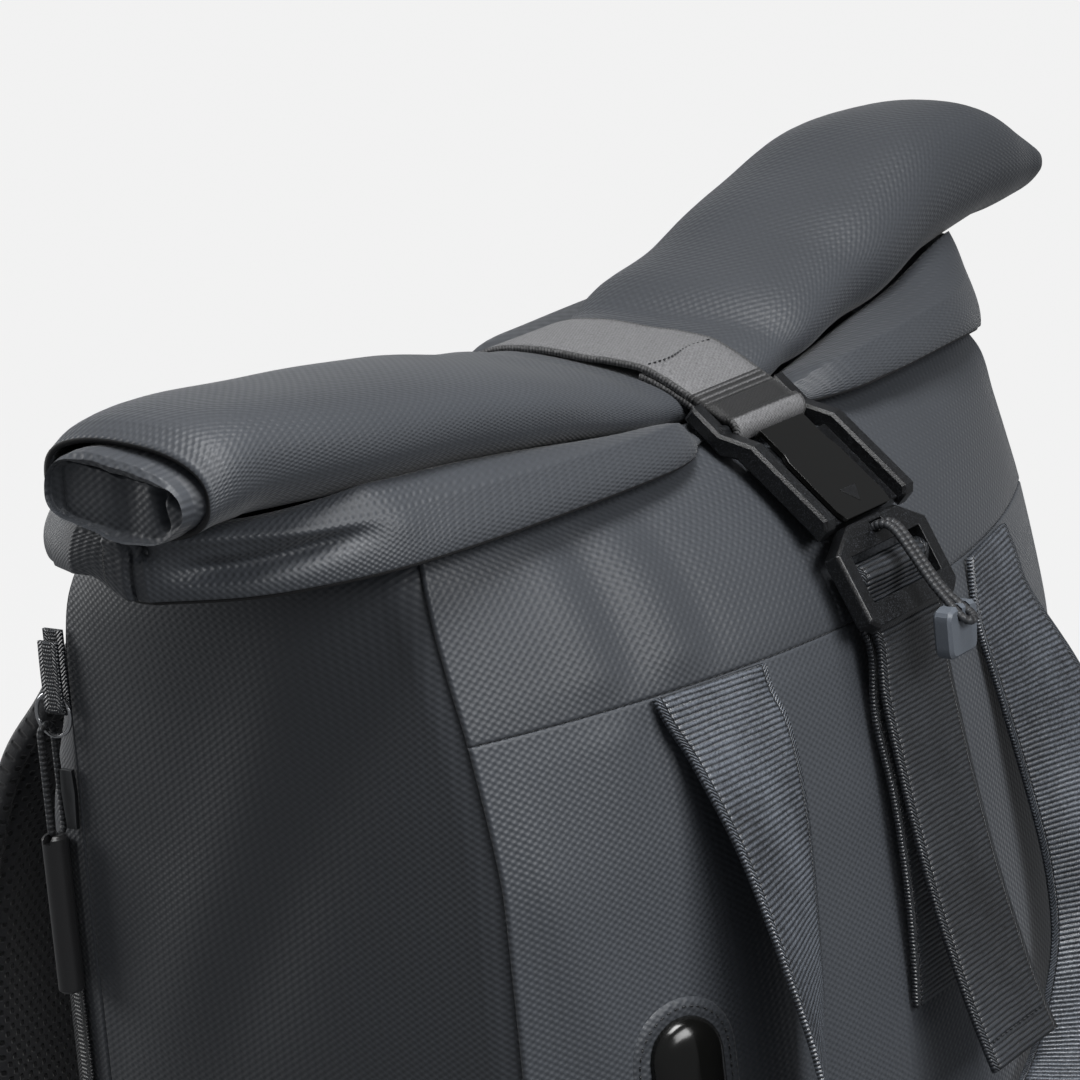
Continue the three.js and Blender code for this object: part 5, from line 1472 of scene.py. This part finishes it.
class BACKPACK_OT_straps(bpy.types.Operator):
    """The closure strap and the front strap"""
    bl_idname = "backpack.straps"
    bl_label = "Straps"

    def execute(self, context):
        closure = level_frames(closure_points(), 190)
        settle(strap("roll_strap", closure, STRAP, "twill"), "webbing", "closure_strap")
        sewn = over_roll(SEWN_LINE, FIT + WEBBING / 2 + WEBBING + 2 * FIT)
        rise = tan(radians(sewn[2]))
        over = sewn[1] + WEBBING / 2 + 0.35
        line = [Vector((x, SEWN_LINE + 1.2 * sin(x / 5), over + x * rise)) for x in range(-17, 18, 2)]
        stitches("strap_stitches", line, 2.2)
        front = level_frames(front_strap_points(), 170)
        settle(strap("tail_strap", front, STRAP, "webbing_38"), "webbing", "front_strap")
        ends = [Vector(middle) for middle, _ in front[-9:]]
        along = (ends[-1] - ends[0]).normalized()
        out = Vector((0, along.z, -along.y))
        hem = ends[-1] - along * 8 + out * (WEBBING / 2 + 0.1)
        stitches("hem_stitches", [hem + Vector((x, 0, 0)) for x in range(-16, 17, 4)], 2.6)
        return {"FINISHED"}


class BACKPACK_OT_buckle(bpy.types.Operator):
    """The slide buckle's two halves, its cover and the adjuster bar"""
    bl_idname = "backpack.buckle"
    bl_label = "Buckle"

    def execute(self, context):
        rounded_copy("buckle_arms", "buckle_frame", 0.35, "satin", "plastic")
        rounded_copy("buckle_ladder", "buckle_base", 0.4, "satin", "plastic")
        rounded_copy("buckle_bar", "adjuster_bar", 0.3, "gloss", "plastic", angle=50)
        rounded_copy("buckle_plate", "buckle_cover", 0.25, "gloss", "plastic")
        corners = [(-4.2, 27.6), (4.2, 27.6), (0, 33.2)]
        plate("buckle_mark", corners, -0.5, 0.14, UPPER, 0.06, "satin", "plastic")
        return {"FINISHED"}


class BACKPACK_OT_handle(bpy.types.Operator):
    """The hanging handle"""
    bl_idname = "backpack.handle"
    bl_label = "Handle"

    def execute(self, context):
        # The handle wears the lightened webbing: painted sheen.
        handle = strap("hanging_handle", handle_frames(), HANDLE_WIDTH, "webbing_42", across=10)
        settle(handle, "webbing", "front_handle")
        return {"FINISHED"}


class BACKPACK_OT_port(bpy.types.Operator):
    """The stitched patch and its glossy cover"""
    bl_idname = "backpack.port"
    bl_label = "Port cover"

    def execute(self, context):
        settle(port_patch("cover_patch"), "fabric", "port_patch")
        settle(port_cover("cover_shell"), "plastic", "port_cover")
        outline = []
        for i in range(65):
            x, z = arched(PATCH_WIDTH - 5, PATCH_HEIGHT - 5, i / 64)
            outline.append(port_point(x, z, FIT + PATCH_THICK))
        stitches("patch_stitches", outline, 2.6)
        return {"FINISHED"}


class BACKPACK_OT_side(bpy.types.Operator):
    """The side zip with its puller, and the loop that the puller hangs from"""
    bl_idname = "backpack.side"
    bl_label = "Side hardware"

    def execute(self, context):
        behind = GUSSET * 0.6
        tape = strap("zip_tape", zip_frames(behind, 2 * FIT + 0.7, ZIP_LOW, ZIP_HIGH, 90), ZIP_WIDTH, "zip_tape", 1.0)
        settle(tape, "webbing", "side_zip")
        rounded_copy("slider", "zip_slider", 0.2, "gunmetal", "metal")
        loop = strap("seam_loop", loop_frames(60), LOOP_WIDTH, "webbing_7", LOOP_THICK)
        settle(loop, "webbing", "side_loop")
        rounded_copy("wire_ring", "loop_ring", 0.0, "steel", "metal", 1, 80)
        cord = tube("puller_cord", puller_line(49), CORD_LOOP, "braid", 12, closed=True)
        settle(cord, "webbing", "pull_loop")
        rounded_copy("puller_tube", "pull_tube", 0.3, "matt_black", "metal", angle=30)
        return {"FINISHED"}


class BACKPACK_OT_back(bpy.types.Operator):
    """The padded back and shoulder straps, their webbing and the haul loop"""
    bl_idname = "backpack.back"
    bl_label = "Carrying side"

    def execute(self, context):
        settle(make_pad("padded_back"), "mesh", "back_pad")
        for side, word in ((-1, "left"), (1, "right")):
            pad = settle(make_shoulder("padded_strap_" + word, side), "mesh", "shoulder_strap_" + word)
            tail = strap("strap_tail_" + word, lower_frames(side, 50), SIDE_WEBBING, "webbing_25")
            settle(tail, "webbing", "lower_webbing_" + word)
        settle(strap("haul_handle", haul_frames(60), SIDE_WEBBING, "webbing_25"), "webbing", "haul_loop")
        return {"FINISHED"}


OPERATORS = (
    BACKPACK_OT_stage, BACKPACK_OT_cord, BACKPACK_OT_body, BACKPACK_OT_roll, BACKPACK_OT_straps,
    BACKPACK_OT_buckle, BACKPACK_OT_handle, BACKPACK_OT_port, BACKPACK_OT_side, BACKPACK_OT_back,
)


class BACKPACK_PT_panel(bpy.types.Panel):
    """The backpack's settings and pieces"""
    bl_idname = "BACKPACK_PT_panel"
    bl_label = "Rolltop backpack"
    bl_space_type = "VIEW_3D"
    bl_region_type = "UI"
    bl_category = "Backpack"

    def draw(self, context):
        for group in (context.scene.backpack_cloth, context.scene.backpack_webbing, context.scene.backpack_stage):
            box = self.layout.box()
            for name in group.__annotations__:
                box.prop(group, name)
        for operator in OPERATORS:
            self.layout.operator(operator.bl_idname)


CLASSES = (ClothSettings, WebbingSettings, StageSettings, *OPERATORS, BACKPACK_PT_panel)


def register():
    for cls in CLASSES:
        bpy.utils.register_class(cls)
    bpy.types.Scene.backpack_cloth = PointerProperty(type=ClothSettings)
    bpy.types.Scene.backpack_webbing = PointerProperty(type=WebbingSettings)
    bpy.types.Scene.backpack_stage = PointerProperty(type=StageSettings)


def unregister():
    del bpy.types.Scene.backpack_stage
    del bpy.types.Scene.backpack_webbing
    del bpy.types.Scene.backpack_cloth
    for cls in reversed(CLASSES):
        bpy.utils.unregister_class(cls)


def main():
    register()
    for operator in OPERATORS:
        group, name = operator.bl_idname.split(".")
        getattr(getattr(bpy.ops, group), name)()


if __name__ == "__main__":
    main()
